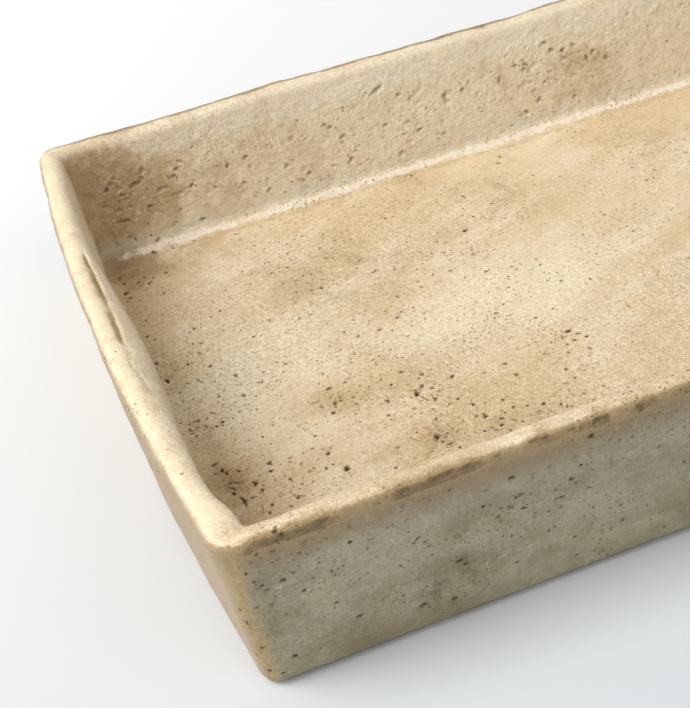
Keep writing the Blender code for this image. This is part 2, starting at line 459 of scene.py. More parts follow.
# Pits that stand out in the photograph: pixel x, pixel y, half length, half width, turn
FLOOR_PITS_AT_PIXELS = (
    (347, 468, 1.5, 0.95, 77), (437, 436, 1.5, 0.9, 77), (417, 394, 1.7, 0.8, 75),
    (443, 441, 0.7, 0.5, 150), (449, 444, 0.6, 0.4, 150), (328, 453, 0.9, 0.6, 60), (333, 464, 0.5, 0.4, 0),
    (523, 421, 0.6, 0.5, 30), (486, 415, 0.9, 0.6, 120), (402, 373, 1.0, 0.6, 20),
    (210, 366, 0.9, 0.6, 50), (329, 388, 1.0, 0.6, 10), (335, 403, 1.1, 0.6, 60),
    (269, 462, 1.0, 0.7, 40), (271, 470, 0.8, 0.6, 0), (255, 482, 0.9, 0.7, 110),
    (214, 465, 0.8, 0.6, 0), (198, 420, 0.9, 0.6, 70), (226, 472, 0.8, 0.5, 45),
    (253, 497, 0.7, 0.5, 20), (262, 489, 0.8, 0.5, 70), (272, 504, 0.7, 0.5, 77), (222, 470, 1.0, 0.6, 77),
    (568, 330, 1.3, 0.7, 15), (578, 333, 1.0, 0.4, 160), (505, 362, 0.8, 0.6, 0),
    (516, 373, 0.9, 0.6, 60), (587, 336, 0.8, 0.5, 30), (153, 252, 0.9, 0.5, 20),
    (321, 288, 0.9, 0.6, 80), (312, 290, 0.7, 0.5, 0), (254, 337, 0.8, 0.5, 10),
    (262, 382, 0.6, 0.5, 0), (244, 395, 0.7, 0.5, 45), (451, 443, 1.0, 0.5, 25),
    (460, 447, 0.6, 0.4, 70), (398, 447, 0.5, 0.4, 0), (396, 467, 0.5, 0.4, 30),
    (290, 478, 0.7, 0.5, 80),
    (502, 424, 0.8, 0.5, 45), (511, 430, 0.7, 0.4, 0), (544, 402, 0.8, 0.5, 60),
    (458, 399, 0.7, 0.5, 30), (473, 404, 0.9, 0.6, 100), (452, 376, 1.2, 0.6, 40),
    (465, 230, 1.3, 0.7, 25), (487, 270, 1.0, 0.6, 10), (380, 330, 0.8, 0.5, 0),
    (119, 278, 1.1, 0.6, 70), (124, 283, 1.0, 0.6, 80), (138, 282, 1.1, 0.6, 50), (149, 283, 1.0, 0.6, 77),
    (153, 278, 0.7, 0.5, 90), (166, 273, 0.9, 0.5, 110), (164, 293, 1.1, 0.4, 60), (126, 293, 1.6, 0.9, 60),
    (130, 298, 0.8, 0.5, 90), (146, 320, 0.7, 0.5, 77), (147, 336, 0.8, 0.5, 100), (157, 363, 0.8, 0.5, 77),
    (167, 381, 1.8, 0.7, 100), (194, 328, 0.9, 0.5, 90), (188, 365, 0.7, 0.5, 77), (190, 332, 0.5, 0.4, 0),
)
WALL_PITS_AT_PIXELS = (
    (135, 185, 3.4, 1.0, 12), (124, 221, 2.6, 0.9, 170), (203, 220, 1.3, 0.9, 0),
    (158, 240, 1.0, 0.7, 30), (377, 90, 3.2, 1.1, 20), (446, 96, 1.9, 1.3, 60),
    (587, 57, 1.6, 1.1, 100), (592, 52, 1.2, 0.8, 40), (330, 128, 1.2, 0.8, 0),
    (343, 137, 1.5, 0.8, 20), (246, 158, 1.3, 0.9, 10), (228, 166, 1.2, 0.8, 60),
    (192, 186, 1.2, 0.8, 40), (176, 170, 1.0, 0.7, 10), (310, 174, 1.5, 0.9, 20),
    (352, 160, 1.5, 0.9, 35), (420, 130, 1.4, 0.9, 15), (463, 90, 1.2, 0.9, 50),
    (500, 80, 1.5, 0.8, 80), (524, 70, 1.2, 0.8, 10), (540, 100, 1.4, 0.9, 30),
    (563, 50, 1.3, 1.0, 60), (574, 96, 1.1, 0.7, 0), (130, 238, 1.2, 0.8, 20),
    (107, 190, 1.2, 0.9, 80), (150, 207, 1.4, 0.8, 10), (270, 190, 1.1, 0.8, 40),
)
FRONT_PITS_AT_PIXELS = (
    (591, 436, 1.3, 1.1, 0), (246, 574, 0.8, 0.5, 80), (283, 580, 1.3, 0.8, 0), (262, 585, 0.7, 0.5, 0),
    (304, 590, 0.7, 0.5, 0), (295, 656, 1.2, 0.8, 10), (254, 582, 0.6, 0.4, 0), (336, 601, 0.7, 0.5, 0),
    (360, 615, 1.5, 0.7, 10), (424, 606, 1.8, 0.8, 15), (418, 539, 1.2, 0.4, 20), (425, 542, 1.0, 0.4, 20),
    (414, 543, 0.8, 0.4, 0), (429, 546, 0.8, 0.4, 30), (350, 542, 1.0, 0.7, 0), (512, 478, 1.4, 0.9, 0),
    (521, 495, 1.1, 0.6, 0), (517, 498, 0.7, 0.5, 0), (524, 509, 1.1, 0.7, 0), (484, 507, 0.9, 0.6, 20),
    (501, 509, 0.7, 0.5, 0), (562, 497, 1.2, 0.6, 0), (556, 499, 0.7, 0.5, 0), (572, 479, 1.2, 0.7, 0),
    (581, 465, 0.8, 0.6, 0), (460, 561, 1.9, 0.9, 10), (466, 564, 1.0, 0.6, 0), (549, 531, 0.6, 0.4, 0),
    (555, 527, 0.6, 0.4, 0), (575, 537, 0.7, 0.5, 0), (589, 488, 1.2, 0.4, 0), (455, 599, 1.2, 0.8, 0),
    (517, 562, 0.8, 0.5, 0), (577, 556, 0.9, 0.6, 20), (247, 623, 1.2, 0.6, 90), (262, 648, 0.8, 0.5, 80),
    (269, 671, 1.3, 0.8, 20), (284, 673, 1.0, 0.5, 0), (240, 610, 0.8, 0.5, 100), (256, 655, 0.7, 0.5, 90),
    (275, 531, 1.2, 0.7, 0), (281, 534, 1.0, 0.7, 30),
)
RIM_CHIPS_AT_PIXELS = (
    (322, 522, 1.8, 0.9, 10), (326, 519, 0.8, 0.5, 0), (404, 491, 1.3, 0.7, 20),
    (408, 488, 0.9, 0.5, 160), (438, 479, 2.2, 0.9, 15), (445, 476, 1.8, 0.8, 0), (451, 472, 1.4, 0.6, 20),
    (468, 466, 1.6, 0.5, 10), (498, 456, 1.2, 0.5, 10), (535, 441, 1.8, 0.6, 5), (546, 438, 1.4, 0.7, 0),
    (572, 430, 1.2, 0.5, 0), (598, 421, 1.9, 0.7, 10), (606, 418, 1.3, 0.6, 0), (640, 407, 1.6, 0.6, 0),
    (284, 537, 2.0, 1.1, 0), (277, 541, 1.2, 0.9, 20), (273, 551, 0.8, 0.6, 0), (300, 530, 1.0, 0.5, 10),
)

# Groups of smaller pits in the photograph: pixel x, pixel y, spread in pixels, how many, size
PIT_GROUPS_AT_PIXELS = (
    (235, 475, 24, 28, 0.62), (255, 500, 16, 8, 0.50), (205, 425, 22, 34, 0.60),
    (330, 400, 25, 26, 0.60), (420, 400, 30, 40, 0.60), (500, 415, 35, 44, 0.60),
    (450, 440, 24, 26, 0.55), (560, 345, 30, 34, 0.60), (300, 455, 40, 34, 0.52),
    (300, 290, 35, 28, 0.52), (370, 300, 40, 24, 0.50), (150, 275, 25, 26, 0.60),
    (250, 340, 40, 40, 0.50), (190, 360, 30, 50, 0.52), (480, 250, 50, 26, 0.45),
    (570, 400, 25, 28, 0.52), (400, 350, 50, 32, 0.45), (220, 400, 35, 50, 0.50),
    (120, 195, 20, 18, 0.90), (180, 185, 34, 26, 0.80), (300, 160, 55, 36, 0.85),
    (420, 110, 55, 36, 0.85), (540, 75, 45, 40, 0.95), (240, 200, 45, 20, 0.70),
    (280, 590, 40, 40, 0.48), (380, 580, 60, 44, 0.45), (480, 530, 50, 36, 0.48),
    (570, 490, 40, 34, 0.48), (300, 540, 40, 24, 0.45), (470, 480, 60, 30, 0.45),
)
EXTRA_PITS = {"front": 420, "right": 420, "back": 640, "left": 420, "floor": 420}

# Soft brown staining with painted shade among it, and pale clouds below zero: pixel x, pixel y, radius in
# mm, strength
STAINS_AND_SHADE_AT_PIXELS = (
    # painted shade: the strongest brown ones in the inner left corners of the floor, on the left of the back
    # wall and under the rim at the front-left corner
    (236, 484, 12, 0.90), (205, 440, 9, 0.40), (180, 375, 8, 0.45), (135, 275, 14, 1.20),
    (115, 268, 9, 1.10),
    (205, 238, 9, 0.35), (300, 208, 9, 0.30), (400, 178, 9, 0.25), (350, 262, 12, 0.55),
    (292, 292, 9, 0.45), (440, 232, 11, 0.45), (455, 425, 9, 0.50), (428, 442, 7, 0.45),
    (398, 376, 8, 0.40), (470, 402, 9, 0.35), (520, 425, 9, 0.35), (560, 395, 10, 0.35),
    (330, 395, 8, 0.30), (250, 345, 8, 0.25), (545, 205, 12, 0.30), (380, 460, 9, 0.20),
    (240, 375, 12, -0.55), (310, 372, 12, -0.50), (350, 330, 10, -0.30), (430, 330, 16, -0.50),
    (520, 300, 20, -0.80), (580, 250, 20, -0.80), (600, 340, 14, -0.50), (480, 380, 9, -0.30),
    (560, 300, 16, -0.60), (300, 430, 10, -0.25), (200, 300, 12, -0.25), (260, 430, 8, -0.25),
    (105, 195, 20, 0.75), (150, 200, 18, 0.45), (235, 150, 13, 0.45), (200, 200, 9, 0.30),
    (85, 175, 11, 0.90), (100, 235, 11, 0.80),
    (574, 60, 15, 0.25), (505, 75, 8, 0.35), (330, 150, 9, 0.15), (560, 90, 9, 0.25),
    (190, 220, 8, -0.30), (280, 190, 9, -0.40), (330, 110, 12, -0.50), (420, 75, 14, -0.80),
    (520, 45, 12, -0.80), (470, 110, 10, -0.40), (390, 130, 10, -0.35), (600, 15, 10, -0.60),
    (262, 566, 4, 0.40), (272, 556, 7, 1.40), (255, 575, 5, 0.80), (290, 640, 8, 0.40),
    (372, 625, 9, 0.45), (455, 590, 9, 0.50), (575, 470, 9, 0.50), (470, 500, 10, 0.40),
    (410, 505, 8, 0.30), (530, 540, 10, 0.45), (320, 535, 6, 0.50), (455, 565, 6, 0.45),
    (300, 575, 8, -0.20), (350, 545, 9, -0.50), (420, 545, 9, -0.50), (390, 570, 7, -0.35),
    (500, 525, 8, -0.35), (560, 500, 7, -0.35), (330, 610, 8, -0.30), (592, 500, 7, -0.40),
    (84, 262, 3, 0.60), (88, 272, 3, 0.60), (93, 283, 3, 0.55), (99, 294, 3, 0.50), (104, 303, 3, 0.40),
    (109, 313, 2, 0.70), (118, 337, 2, 0.60), (126, 356, 2, 0.60), (146, 390, 3, 0.60), (156, 410, 4, 0.80),
    (168, 436, 4, 0.60), (280, 542, 5, 1.10), (262, 548, 5, 0.60), (322, 523, 3, 1.30),
    (405, 491, 3, 1.00), (441, 478, 4, 1.30), (470, 463, 3, 0.70), (500, 453, 3, 0.40),
    (545, 437, 4, 0.90), (600, 419, 4, 0.90), (640, 405, 5, 0.60),
    (480, 26, 3, 1.20), (492, 21, 3, 1.20), (535, 8, 3, 0.80), (440, 38, 5, 0.70),
    (400, 50, 5, 0.50), (340, 68, 5, 0.60), (250, 93, 5, 0.60), (180, 113, 5, 0.60), (120, 131, 5, 0.60),
    (205, 335, 13, -0.45), (280, 345, 12, -0.40), (250, 410, 10, -0.45), (180, 330, 10, -0.30),
    (232, 545, 6, -0.50), (150, 420, 8, -0.70), (190, 490, 8, -0.70), (120, 360, 7, -0.50),
)

# Creases of the left rim and cracks in the floor: pixels of their points, half width, depth and
# darkness, and for the first two the slope beside a fold
CREASES_AT_PIXELS = (
    (((83, 250), (90, 266), (98, 283), (107, 300), (112, 312), (117, 325), (121, 337), (126, 349)),
     0.45, 0.80, 0.42, 0.8),
    (((124, 344), (129, 356), (134, 367), (141, 378), (149, 388), (156, 396)), 0.45, 0.30, 0.05, 0.15),
    (((97, 298), (103, 296), (107, 298), (114, 296)), 0.25, 0.3, 0.45),
    (((126, 346), (131, 352), (130, 360), (135, 372)), 0.35, 0.5, 0.10),
    (((166, 399), (172, 403), (176, 409)), 0.35, 0.4, 0.45),
    (((210, 571), (216, 584), (221, 594), (226, 604), (232, 616), (239, 629)), 0.40, 0.5, 0.35),
    (((240, 497), (244, 501), (248, 506)), 0.45, 0.5, 1.0),
    (((246, 500), (241, 505)), 0.30, 0.3, 0.8),
    (((262, 504), (263, 510), (262, 516)), 0.28, 0.3, 0.8),
    (((231, 483), (235, 482), (239, 483)), 0.32, 0.3, 0.9),
    (((229, 488), (233, 488), (236, 490)), 0.30, 0.3, 0.8),
    (((252, 480), (256, 482), (254, 486)), 0.30, 0.3, 0.8),
    (((298, 494), (302, 495), (306, 495)), 0.30, 0.3, 0.9),
    (((320, 495), (325, 494)), 0.30, 0.3, 0.9),
    (((409, 391), (414, 391), (418, 390)), 0.30, 0.3, 0.8),
    (((421, 396), (425, 399), (430, 401)), 0.30, 0.3, 0.8),
    (((408, 436), (415, 439), (421, 441)), 0.25, 0.2, 0.4),
    (((513, 418), (517, 421)), 0.30, 0.3, 0.8),
    (((523, 424), (529, 428), (533, 428)), 0.30, 0.3, 0.8),
    (((372, 272), (376, 269)), 0.35, 0.3, 0.8),
)

# Flecks of clay torn up beside the crease, and on the front, pale with a painted highlight
FLECKS_AT_PIXELS = ((130, 346), (132, 350), (131, 355), (133, 361), (135, 368), (137, 374), (84, 262),
                    (277, 587), (280, 586), (586, 457), (584, 455))

SMOOTH_BAND = 6.0         # width of the wiped band under the rim, on the inner face
RIM_PITS_KEPT = 0.12      # share of the small pits that is left on the rim and this band


class Marks:
    """All hollows of the tray: those seen in the photograph, and more like them where it shows none."""

    def __init__(self, guide):
        self.draw = random.Random(7)
        self.list = []
        self.guide = guide
        self.add_seen(FLOOR_PITS_AT_PIXELS, depth=0.70, dark=1.0, lean=0.0)
        # lean paints shade into one side of these wall pits and rim chips, and a highlight into the other
        # side of the wall pits
        self.add_seen(WALL_PITS_AT_PIXELS, depth=1.1, dark=0.28, lean=-0.7)
        self.add_seen(FRONT_PITS_AT_PIXELS, depth=0.40, dark=0.85, lean=0.0, scale=0.75)
        self.add_seen(RIM_CHIPS_AT_PIXELS, depth=0.45, dark=0.36, lean=0.3)
        for group in PIT_GROUPS_AT_PIXELS:
            self.add_group(*group)
        for place in FLECKS_AT_PIXELS:
            self.add_fleck(*place)
        for points, *shape in CREASES_AT_PIXELS:
            self.add_crease(points, shape)
        for domain, count in EXTRA_PITS.items():
            self.add_scattered(domain, count)

    def add_seen(self, places, depth, dark, lean, scale=1.0):
        for x, y, length, width, turn in places:
            found = self.guide.find(x, y)
            if found:
                self.list.append(Mark(*found, scale * length, scale * width, depth, dark, turn, lean=lean))

    def add_fleck(self, x, y):
        found = self.guide.find(x, y)
        if found:
            turn = self.draw.uniform(50, 130)
            # its darkness below zero is a painted highlight
            self.list.append(Mark(*found, length=0.55, width=0.3, depth=-0.45, dark=-0.8,
                                  turn=turn, lip=0.0))

    def add_group(self, x, y, spread, count, size):
        for _ in range(count):
            found = self.guide.find(self.draw.gauss(x, spread * 0.6), self.draw.gauss(y, spread * 0.5))
            if found:
                self.add_small(*found, size)

    def add_small(self, domain, flat, size):
        """One small hollow: a scrape on the inner faces of walls, and elsewhere a pit."""
        if domain in SIDES and not self.on_open_face(domain, flat):
            return
        length = size * (0.45 + 1.1 * self.draw.random() ** 1.4)
        width = length * self.draw.uniform(0.55, 0.95)
        scrape = domain in SIDES and flat[1] > ENDS["rim"]
        add = self.add_scrape if scrape else self.add_pit
        add(domain, flat, length, width)

    def add_scrape(self, domain, flat, length, width):
        dark = self.draw.uniform(0.0, 0.28)
        turn = self.draw.uniform(-30, 30)
        depth = min(0.9 * width, 0.9)
        # lean paints shade into one side of the scrape and a highlight into the other
        self.list.append(Mark(domain, flat, 1.25 * length, 1.2 * width, depth, dark, turn,
                              lip=0.14, lean=-0.6))

    def add_pit(self, domain, flat, length, width):
        depth = min(0.85 * width, 0.6) * self.draw.uniform(0.6, 1.0)
        darkest = 1.0 if domain == "floor" else 0.55
        dark = darkest * (0.2 + 0.8 * self.draw.random() ** 2.2)
        self.list.append(Mark(domain, flat, length, width, depth, dark, turn=self.draw.gauss(77, 45)))

    def on_open_face(self, side, flat):
        """False on the coils, in the round inner corners and, with luck, on the rim: smoothed clay."""
        in_corner = min(flat[0], map_length(side) - flat[0]) < CORNER_SPAN + 1.5
        if flat[1] < ENDS["outer"]:
            return True
        if flat[1] < ENDS["inner_rim"] + SMOOTH_BAND:
            return self.draw.random() < RIM_PITS_KEPT
        return flat[1] < ENDS["inner"] - 1.0 and not in_corner

    def add_crease(self, points, shape):
        found = [place for place in (self.guide.find(x, y) for x, y in points) if place]
        domain = found[0][0]
        self.list.append(Crease(domain, [flat for name, flat in found if name == domain], *shape))

    def add_scattered(self, domain, count):
        """Pits in loose clusters over a domain, also where the photograph shows nothing."""
        if domain == "floor":
            half_x, half_y = BASE_LENGTH / 2 - COIL_TOE - 2, BASE_DEPTH / 2 - COIL_TOE - 2
            low, high = (-half_x, -half_y), (half_x, half_y)
        else:
            low, high = (3.0, 3.0), (map_length(domain) - 3.0, ENDS["coil"] - 1.0)
        centre = None
        for _ in range(count):
            if centre is None or self.draw.random() < 0.22:
                centre = [self.draw.uniform(a, b) for a, b in zip(low, high)]
                spread = self.draw.uniform(4.0, 22.0)
            flat = [self.draw.gauss(c, spread) for c in centre]
            if all(a < value < b for value, a, b in zip(flat, low, high)):
                self.add_small(domain, flat, self.draw.uniform(0.35, 0.7))


def seen_stains_and_shade(guide):
    """Centre, normal, radius and strength of each patch that the photograph shows: staining, painted shade
    and pale clouds.
    """
    stains_and_shade = []
    for x, y, radius, strength in STAINS_AND_SHADE_AT_PIXELS:
        found = guide.find(x, y)
        if found:
            spot = Mark(*found, 1.0, 1.0, 0.0, 0.0)
            stains_and_shade.append((spot.centre, spot.normal, radius, strength))
    return stains_and_shade


# The skin as one mesh

def clear_of(value, borders, least):
    return all(abs(value - border) > least for border in borders)


def off_seams(point, length, least):
    """Whether a place on the flat map of a wall of this length keeps its distance from every seam."""
    u, s = point
    inner_rim, inner, end = ENDS["inner_rim"], ENDS["inner"], ENDS["coil"]
    if not (least < u < length - least and least < s < end - least):
        return False
    if inner_rim - least < s < inner + least and not clear_of(u, (CORNER_SPAN, length - CORNER_SPAN), least):
        return False
    in_corner = u < CORNER_SPAN or u > length - CORNER_SPAN
    if in_corner and abs(s - inner_rim) < least:
        return False
    return clear_of(s, (0.0, ENDS["base"], inner, end), least)


def triangulated(points, constraints):
    """Delaunay triangles over flat points, as triples of the points' own numbers."""
    flat = [Vector((float(x), float(y))) for x, y in points]
    made = geometry.delaunay_2d_cdt(flat, constraints, [], 0, 1e-6)
    source = [min(origins) for origins in made[3]]
    return [tuple(source[corner] for corner in face) for face in made[2]]


def thinned(points, least, kept):
    """Leave out points that lie closer than least to one already kept, in the order given."""
    cells = {}
    for x, y in kept:
        cells.setdefault((int(x // least), int(y // least)), []).append((x, y))
    result = []
    for x, y in points:
        column, row = int(x // least), int(y // least)
        near = [p for i in (-1, 0, 1) for j in (-1, 0, 1) for p in cells.get((column + i, row + j), ())]
        if all((x - a) ** 2 + (y - b) ** 2 > least ** 2 for a, b in near):
            cells.setdefault((column, row), []).append((x, y))
            result.append((x, y))
    return result


def spread_points(low, high, step, draw):
    """Points in offset rows, each moved a little at random."""
    points = []
    rows = int((high[1] - low[1]) / (step * ROW_SHARE))
    for row in range(rows + 1):
        y = low[1] + (row + 0.5) * step * ROW_SHARE
        x = low[0] + (0.25 + 0.5 * (row % 2)) * step
        while x < high[0]:
            moved_x = x + draw.uniform(-JITTER, JITTER) * step
            points.append((moved_x, y + draw.uniform(-JITTER, JITTER) * step))
            x += step
    return points


# Steps across the section, for the stretches that do not take EDGE_STEP
LEVEL_STEPS = {"outer": FACE_STEP, "outer_rim": RIM_STEP, "rim": RIM_STEP, "inner_rim": RIM_STEP,
               "inner": FACE_STEP}


class Skin:
    """The whole surface: points on seams are shared by the pieces on both sides."""

    def __init__(self, marks):
        self.draw = random.Random(11)
        self.flat_of = []         # domain and flat place of each vertex
        self.plumb = []
        self.number = {}          # of each vertex that lies on the lattice of seams
        self.faces = {}           # of each piece
        self.marks = marks
        self.levels = self.seam_levels()
        self.stations_of = {side: self.stations(side) for side in SIDES}
        for side in SIDES:
            self.add_wall(side)
        self.add_floor()
        self.add_underside()
        self.add_hidden_points()

    def seam_levels(self):
        """Places across the section of the mitred ends, with every seam among them."""
        levels = [0.0]
        self.level_of = {}
        for name, end in ENDS.items():
            start = levels[-1]
            count = max(1, round((end - start) / LEVEL_STEPS.get(name, EDGE_STEP)))
            levels += list(np.linspace(start, end, count + 1)[1:])
            self.level_of[name] = len(levels) - 1
        return levels

    def stations(self, side):
        """Places along a wall's flat map at which seams have their points."""
        corner = np.linspace(0, CORNER_SPAN, CORNER_STEPS + 1)
        count = round(run_length(side) / FACE_STEP)
        run = CORNER_SPAN + np.linspace(0, run_length(side), count + 1)
        end = map_length(side) - corner[::-1]
        return np.concatenate([corner[:-1], run, end[1:]])

    def key(self, side, station, level):
        """The name of a lattice point. Both walls at a mitre give it the same one."""
        index = SIDE_NAMES.index(side)
        if station == 0:
            return (CORNERS[index - 1], level)
        if station == len(self.stations_of[side]) - 1:
            return (CORNERS[index], level)
        return (side, station, level)

    def put(self, domain, flat, plumb, key=None):
        if key in self.number:
            return self.number[key]
        self.plumb.append(plumb)
        self.flat_of.append((domain, flat))
        if key:
            self.number[key] = len(self.plumb) - 1
        return len(self.plumb) - 1

    def wall_lattice(self, side):
        """Lattice points on the seams of a wall, and the lines that join them."""
        stations, levels = self.stations_of[side], self.levels
        last, top = len(stations) - 1, len(levels) - 1
        rim, coil = self.level_of["inner_rim"], self.level_of["inner"]
        lines = [[(0, k) for k in range(top + 1)], [(last, k) for k in range(top + 1)]]
        for level in (0, self.level_of["base"], coil, top):
            lines.append([(j, level) for j in range(last + 1)])
        lines.append([(j, rim) for j in range(CORNER_STEPS + 1)])
        lines.append([(j, rim) for j in range(last - CORNER_STEPS, last + 1)])
        for j in (CORNER_STEPS, last - CORNER_STEPS):
            lines.append([(j, k) for k in range(rim, coil + 1)])
        return lines

    def add_wall(self, side):
        stations, levels = self.stations_of[side], self.levels
        lattice, constraints, nodes = {}, [], []
        for line in self.wall_lattice(side):
            for node in line:
                if node not in lattice:
                    lattice[node] = len(nodes)
                    nodes.append(node)
            constraints += [(lattice[a], lattice[b]) for a, b in zip(line, line[1:])]
        points = [(stations[j], levels[k]) for j, k in nodes]
        free = self.free_wall_points(side, points)
        flat = points + free
        plumb = wall_points(side, [p[0] for p in flat], [p[1] for p in flat])
        numbers = []
        for index, place in enumerate(flat):
            key = self.key(side, *nodes[index]) if index < len(nodes) else None
            numbers.append(self.put(side, place, plumb[index], key))
        for face in triangulated(flat, constraints):
            u, s = np.mean([flat[c] for c in face], axis=0)
            self.faces.setdefault(self.wall_piece(side, u, s), []).append([numbers[c] for c in face])

    def wall_piece(self, side, u, s):
        """The piece that a place on a wall's flat map belongs to."""
        if s < ENDS["base"]:
            return "base_slab"
        if s > ENDS["inner"]:
            return side + "_floor_coil"
        if s > ENDS["inner_rim"]:
            index = SIDE_NAMES.index(side)
            if u < CORNER_SPAN:
                return CORNERS[index - 1] + "_corner_coil"
            if u > map_length(side) - CORNER_SPAN:
                return CORNERS[index] + "_corner_coil"
        return side + "_wall"

    def free_wall_points(self, side, kept):
        """Points of a wall between its seams: first those round the marks, then rows of others."""
        length = map_length(side)
        inner = ENDS["inner"]
        rim_start, rim_end = ENDS["outer"] - 1.5, ENDS["inner_rim"] + 1.5
        zones = (
            (0.0, ENDS["base"], EDGE_STEP * 1.3),
            (ENDS["base"], rim_start, FACE_STEP),
            (rim_start, rim_end, RIM_STEP),
            (rim_end, inner - 1.0, FACE_STEP),
            (inner - 1.0, ENDS["coil"], EDGE_STEP),
        )
        grid = []
        for low, high, step in zones:
            grid += spread_points((0.0, low), (length, high), step, self.draw)
        rings = [tuple(p) for mark in self.marks if mark.domain == side for p in mark.rings()]
        rings = [p for p in rings if off_seams(p, length, RING_MARGIN)]
        rings = thinned(rings, RINGS_APART, kept)
        grid = [p for p in grid if off_seams(p, length, WALL_MARGIN)]
        return rings + thinned(grid, GRID_APART, kept + rings)

    def around(self, level):
        """Keys of the lattice points at one level, once round the tray, front first."""
        keys = []
        for side in SIDES:
            keys += [self.key(side, j, level) for j in range(len(self.stations_of[side]) - 1)]
        return keys

    def add_patch(self, domain, level, step, marks):
        """The flat area inside one level of the lattice."""
        numbers = [self.number[key] for key in self.around(level)]
        outline = [tuple(self.plumb[n][:2]) for n in numbers]
        constraints = [(i, (i + 1) % len(outline)) for i in range(len(outline))]
        xs, ys = zip(*outline)
        low, high = (min(xs), min(ys)), (max(xs), max(ys))
        rounding = np.interp(self.levels[level], ROUND_AT, ROUNDS)

        def allowed(point, least):
            x, y = abs(point[0]), abs(point[1])
            if x > high[0] - least or y > high[1] - least:
                return False
            corner = max(x - (high[0] - rounding), 0), max(y - (high[1] - rounding), 0)
            return math.hypot(*corner) < rounding - least

        rings = [tuple(p) for mark in marks for p in mark.rings()]
        rings = thinned([p for p in rings if allowed(p, RING_MARGIN)], RINGS_APART, outline)
        grid = [p for p in spread_points(low, high, step, self.draw) if allowed(p, FLAT_MARGIN)]
        grid = thinned(grid, GRID_APART, outline + rings)
        free = rings + grid
        height = BASE_THICKNESS if domain == "floor" else 0.0
        numbers += [self.put(domain, p, (*p, height)) for p in free]
        for face in triangulated(outline + free, constraints):
            face = [numbers[c] for c in face]
            self.faces["base_slab"].append(face if domain == "floor" else face[::-1])

    def add_floor(self):
        self.add_patch("floor", len(self.levels) - 1, FACE_STEP,
                       [mark for mark in self.marks if mark.domain == "floor"])

    def add_underside(self):
        self.add_patch("underside", 0, UNDER_STEP, [])

    def add_hidden_points(self):
        """Points inside the clay, on which the seams between the pieces end."""
        self.shown = len(self.plumb)
        inset = WALL - SEAM_DEPTH
        for side in SIDES:
            for j, u in enumerate(self.stations_of[side]):
                plumb = swept(side, np.array([u]), inset, BASE_THICKNESS - 2 * SEAM_DEPTH, SEAM_ROUND)[0]
                self.put(side, (u, ENDS["base"]), plumb, ("under", *self.key(side, j, -1)))
        for index, side in enumerate(SIDES):
            for level in range(self.level_of["inner_rim"], self.level_of["inner"] + 1):
                height = np.interp(self.levels[level], SECTION_AT, SECTION[:, 1])
                u = map_length(side)
                plumb = swept(side, np.array([u]), inset, height, 0.0)[0]
                self.put(side, (u, self.levels[level]), plumb, ("core", CORNERS[index], level))

    def seam_faces(self, name):
        """Hidden faces that close one piece, so that each is a solid of its own."""
        if name == "base_slab":
            return self.base_seams()
        if name.endswith("_wall"):
            return self.wall_seams(name.removesuffix("_wall"))
        if name.endswith("_floor_coil"):
            return self.floor_coil_seams(name.removesuffix("_floor_coil"))
        return self.corner_coil_seams(name.removesuffix("_corner_coil"))

    def lattice(self, side, j, level):
        return self.number[self.key(side, j, level)]

    def under(self, side, j):
        return self.number[("under", *self.key(side, j, -1))]

    def strip(self, side, first, second):
        """Faces between two rows of points along a wall, each row given by a function."""
        faces = []
        for j in range(len(self.stations_of[side]) - 1):
            faces.append([first(side, j), first(side, j + 1), second(side, j + 1), second(side, j)])
        return faces

    def row(self, level):
        return lambda side, j: self.lattice(side, j, level)

    def base_seams(self):
        faces = []
        for side in SIDES:
            faces += self.strip(side, self.row(self.level_of["base"]), self.under)
            faces += self.strip(side, self.under, self.row(len(self.levels) - 1))
        return faces

    def corner_seams(self, corner, side):
        """Faces between a wall and the coil in one of its inner corners."""
        last = len(self.stations_of[side]) - 1
        index = SIDE_NAMES.index(side)
        at_end = CORNERS[index] == corner
        stations = [last - j if at_end else j for j in range(CORNER_STEPS + 1)]
        rim, coil = self.level_of["inner_rim"], self.level_of["inner"]
        faces = []
        for level in (rim, coil):
            for a, b in zip(stations, stations[1:]):
                faces.append([self.lattice(side, a, level), self.lattice(side, b, level),
                              self.number[("core", corner, level)]])
        upright = stations[-1]
        for level in range(rim, coil):
            faces.append([self.lattice(side, upright, level), self.lattice(side, upright, level + 1),
                          self.number[("core", corner, level + 1)], self.number[("core", corner, level)]])
        return faces

    def corners_of(self, side):
        index = SIDE_NAMES.index(side)
        return (CORNERS[index - 1], 0), (CORNERS[index], len(self.stations_of[side]) - 1)

    def wall_seams(self, side):
        base, rim, coil = (self.level_of[n] for n in ("base", "inner_rim", "inner"))
        faces = self.strip(side, self.row(base), self.under)
        faces += self.strip(side, self.under, self.row(coil))
        for corner, station in self.corners_of(side):
            faces += self.corner_seams(corner, side)
            mitre = [self.lattice(side, station, k) for k in range(base, rim + 1)]
            mitre += [self.number[("core", corner, k)] for k in range(rim, coil + 1)]
            mitre += [self.lattice(side, station, coil), self.under(side, station)]
            faces.append(mitre)
        return faces

    def floor_coil_seams(self, side):
        coil, toe = self.level_of["inner"], len(self.levels) - 1
        faces = self.strip(side, self.row(coil), self.under)
        faces += self.strip(side, self.under, self.row(toe))
        for _, station in self.corners_of(side):
            end = [self.lattice(side, station, k) for k in range(coil, toe + 1)]
            faces.append(end + [self.under(side, station)])
        return faces

    def corner_coil_seams(self, corner):
        index = CORNERS.index(corner)
        faces = self.corner_seams(corner, SIDE_NAMES[index])
        return faces + self.corner_seams(corner, SIDE_NAMES[(index + 1) % len(SIDE_NAMES)])


# How the hand, the clay and the kiln shaped the skin

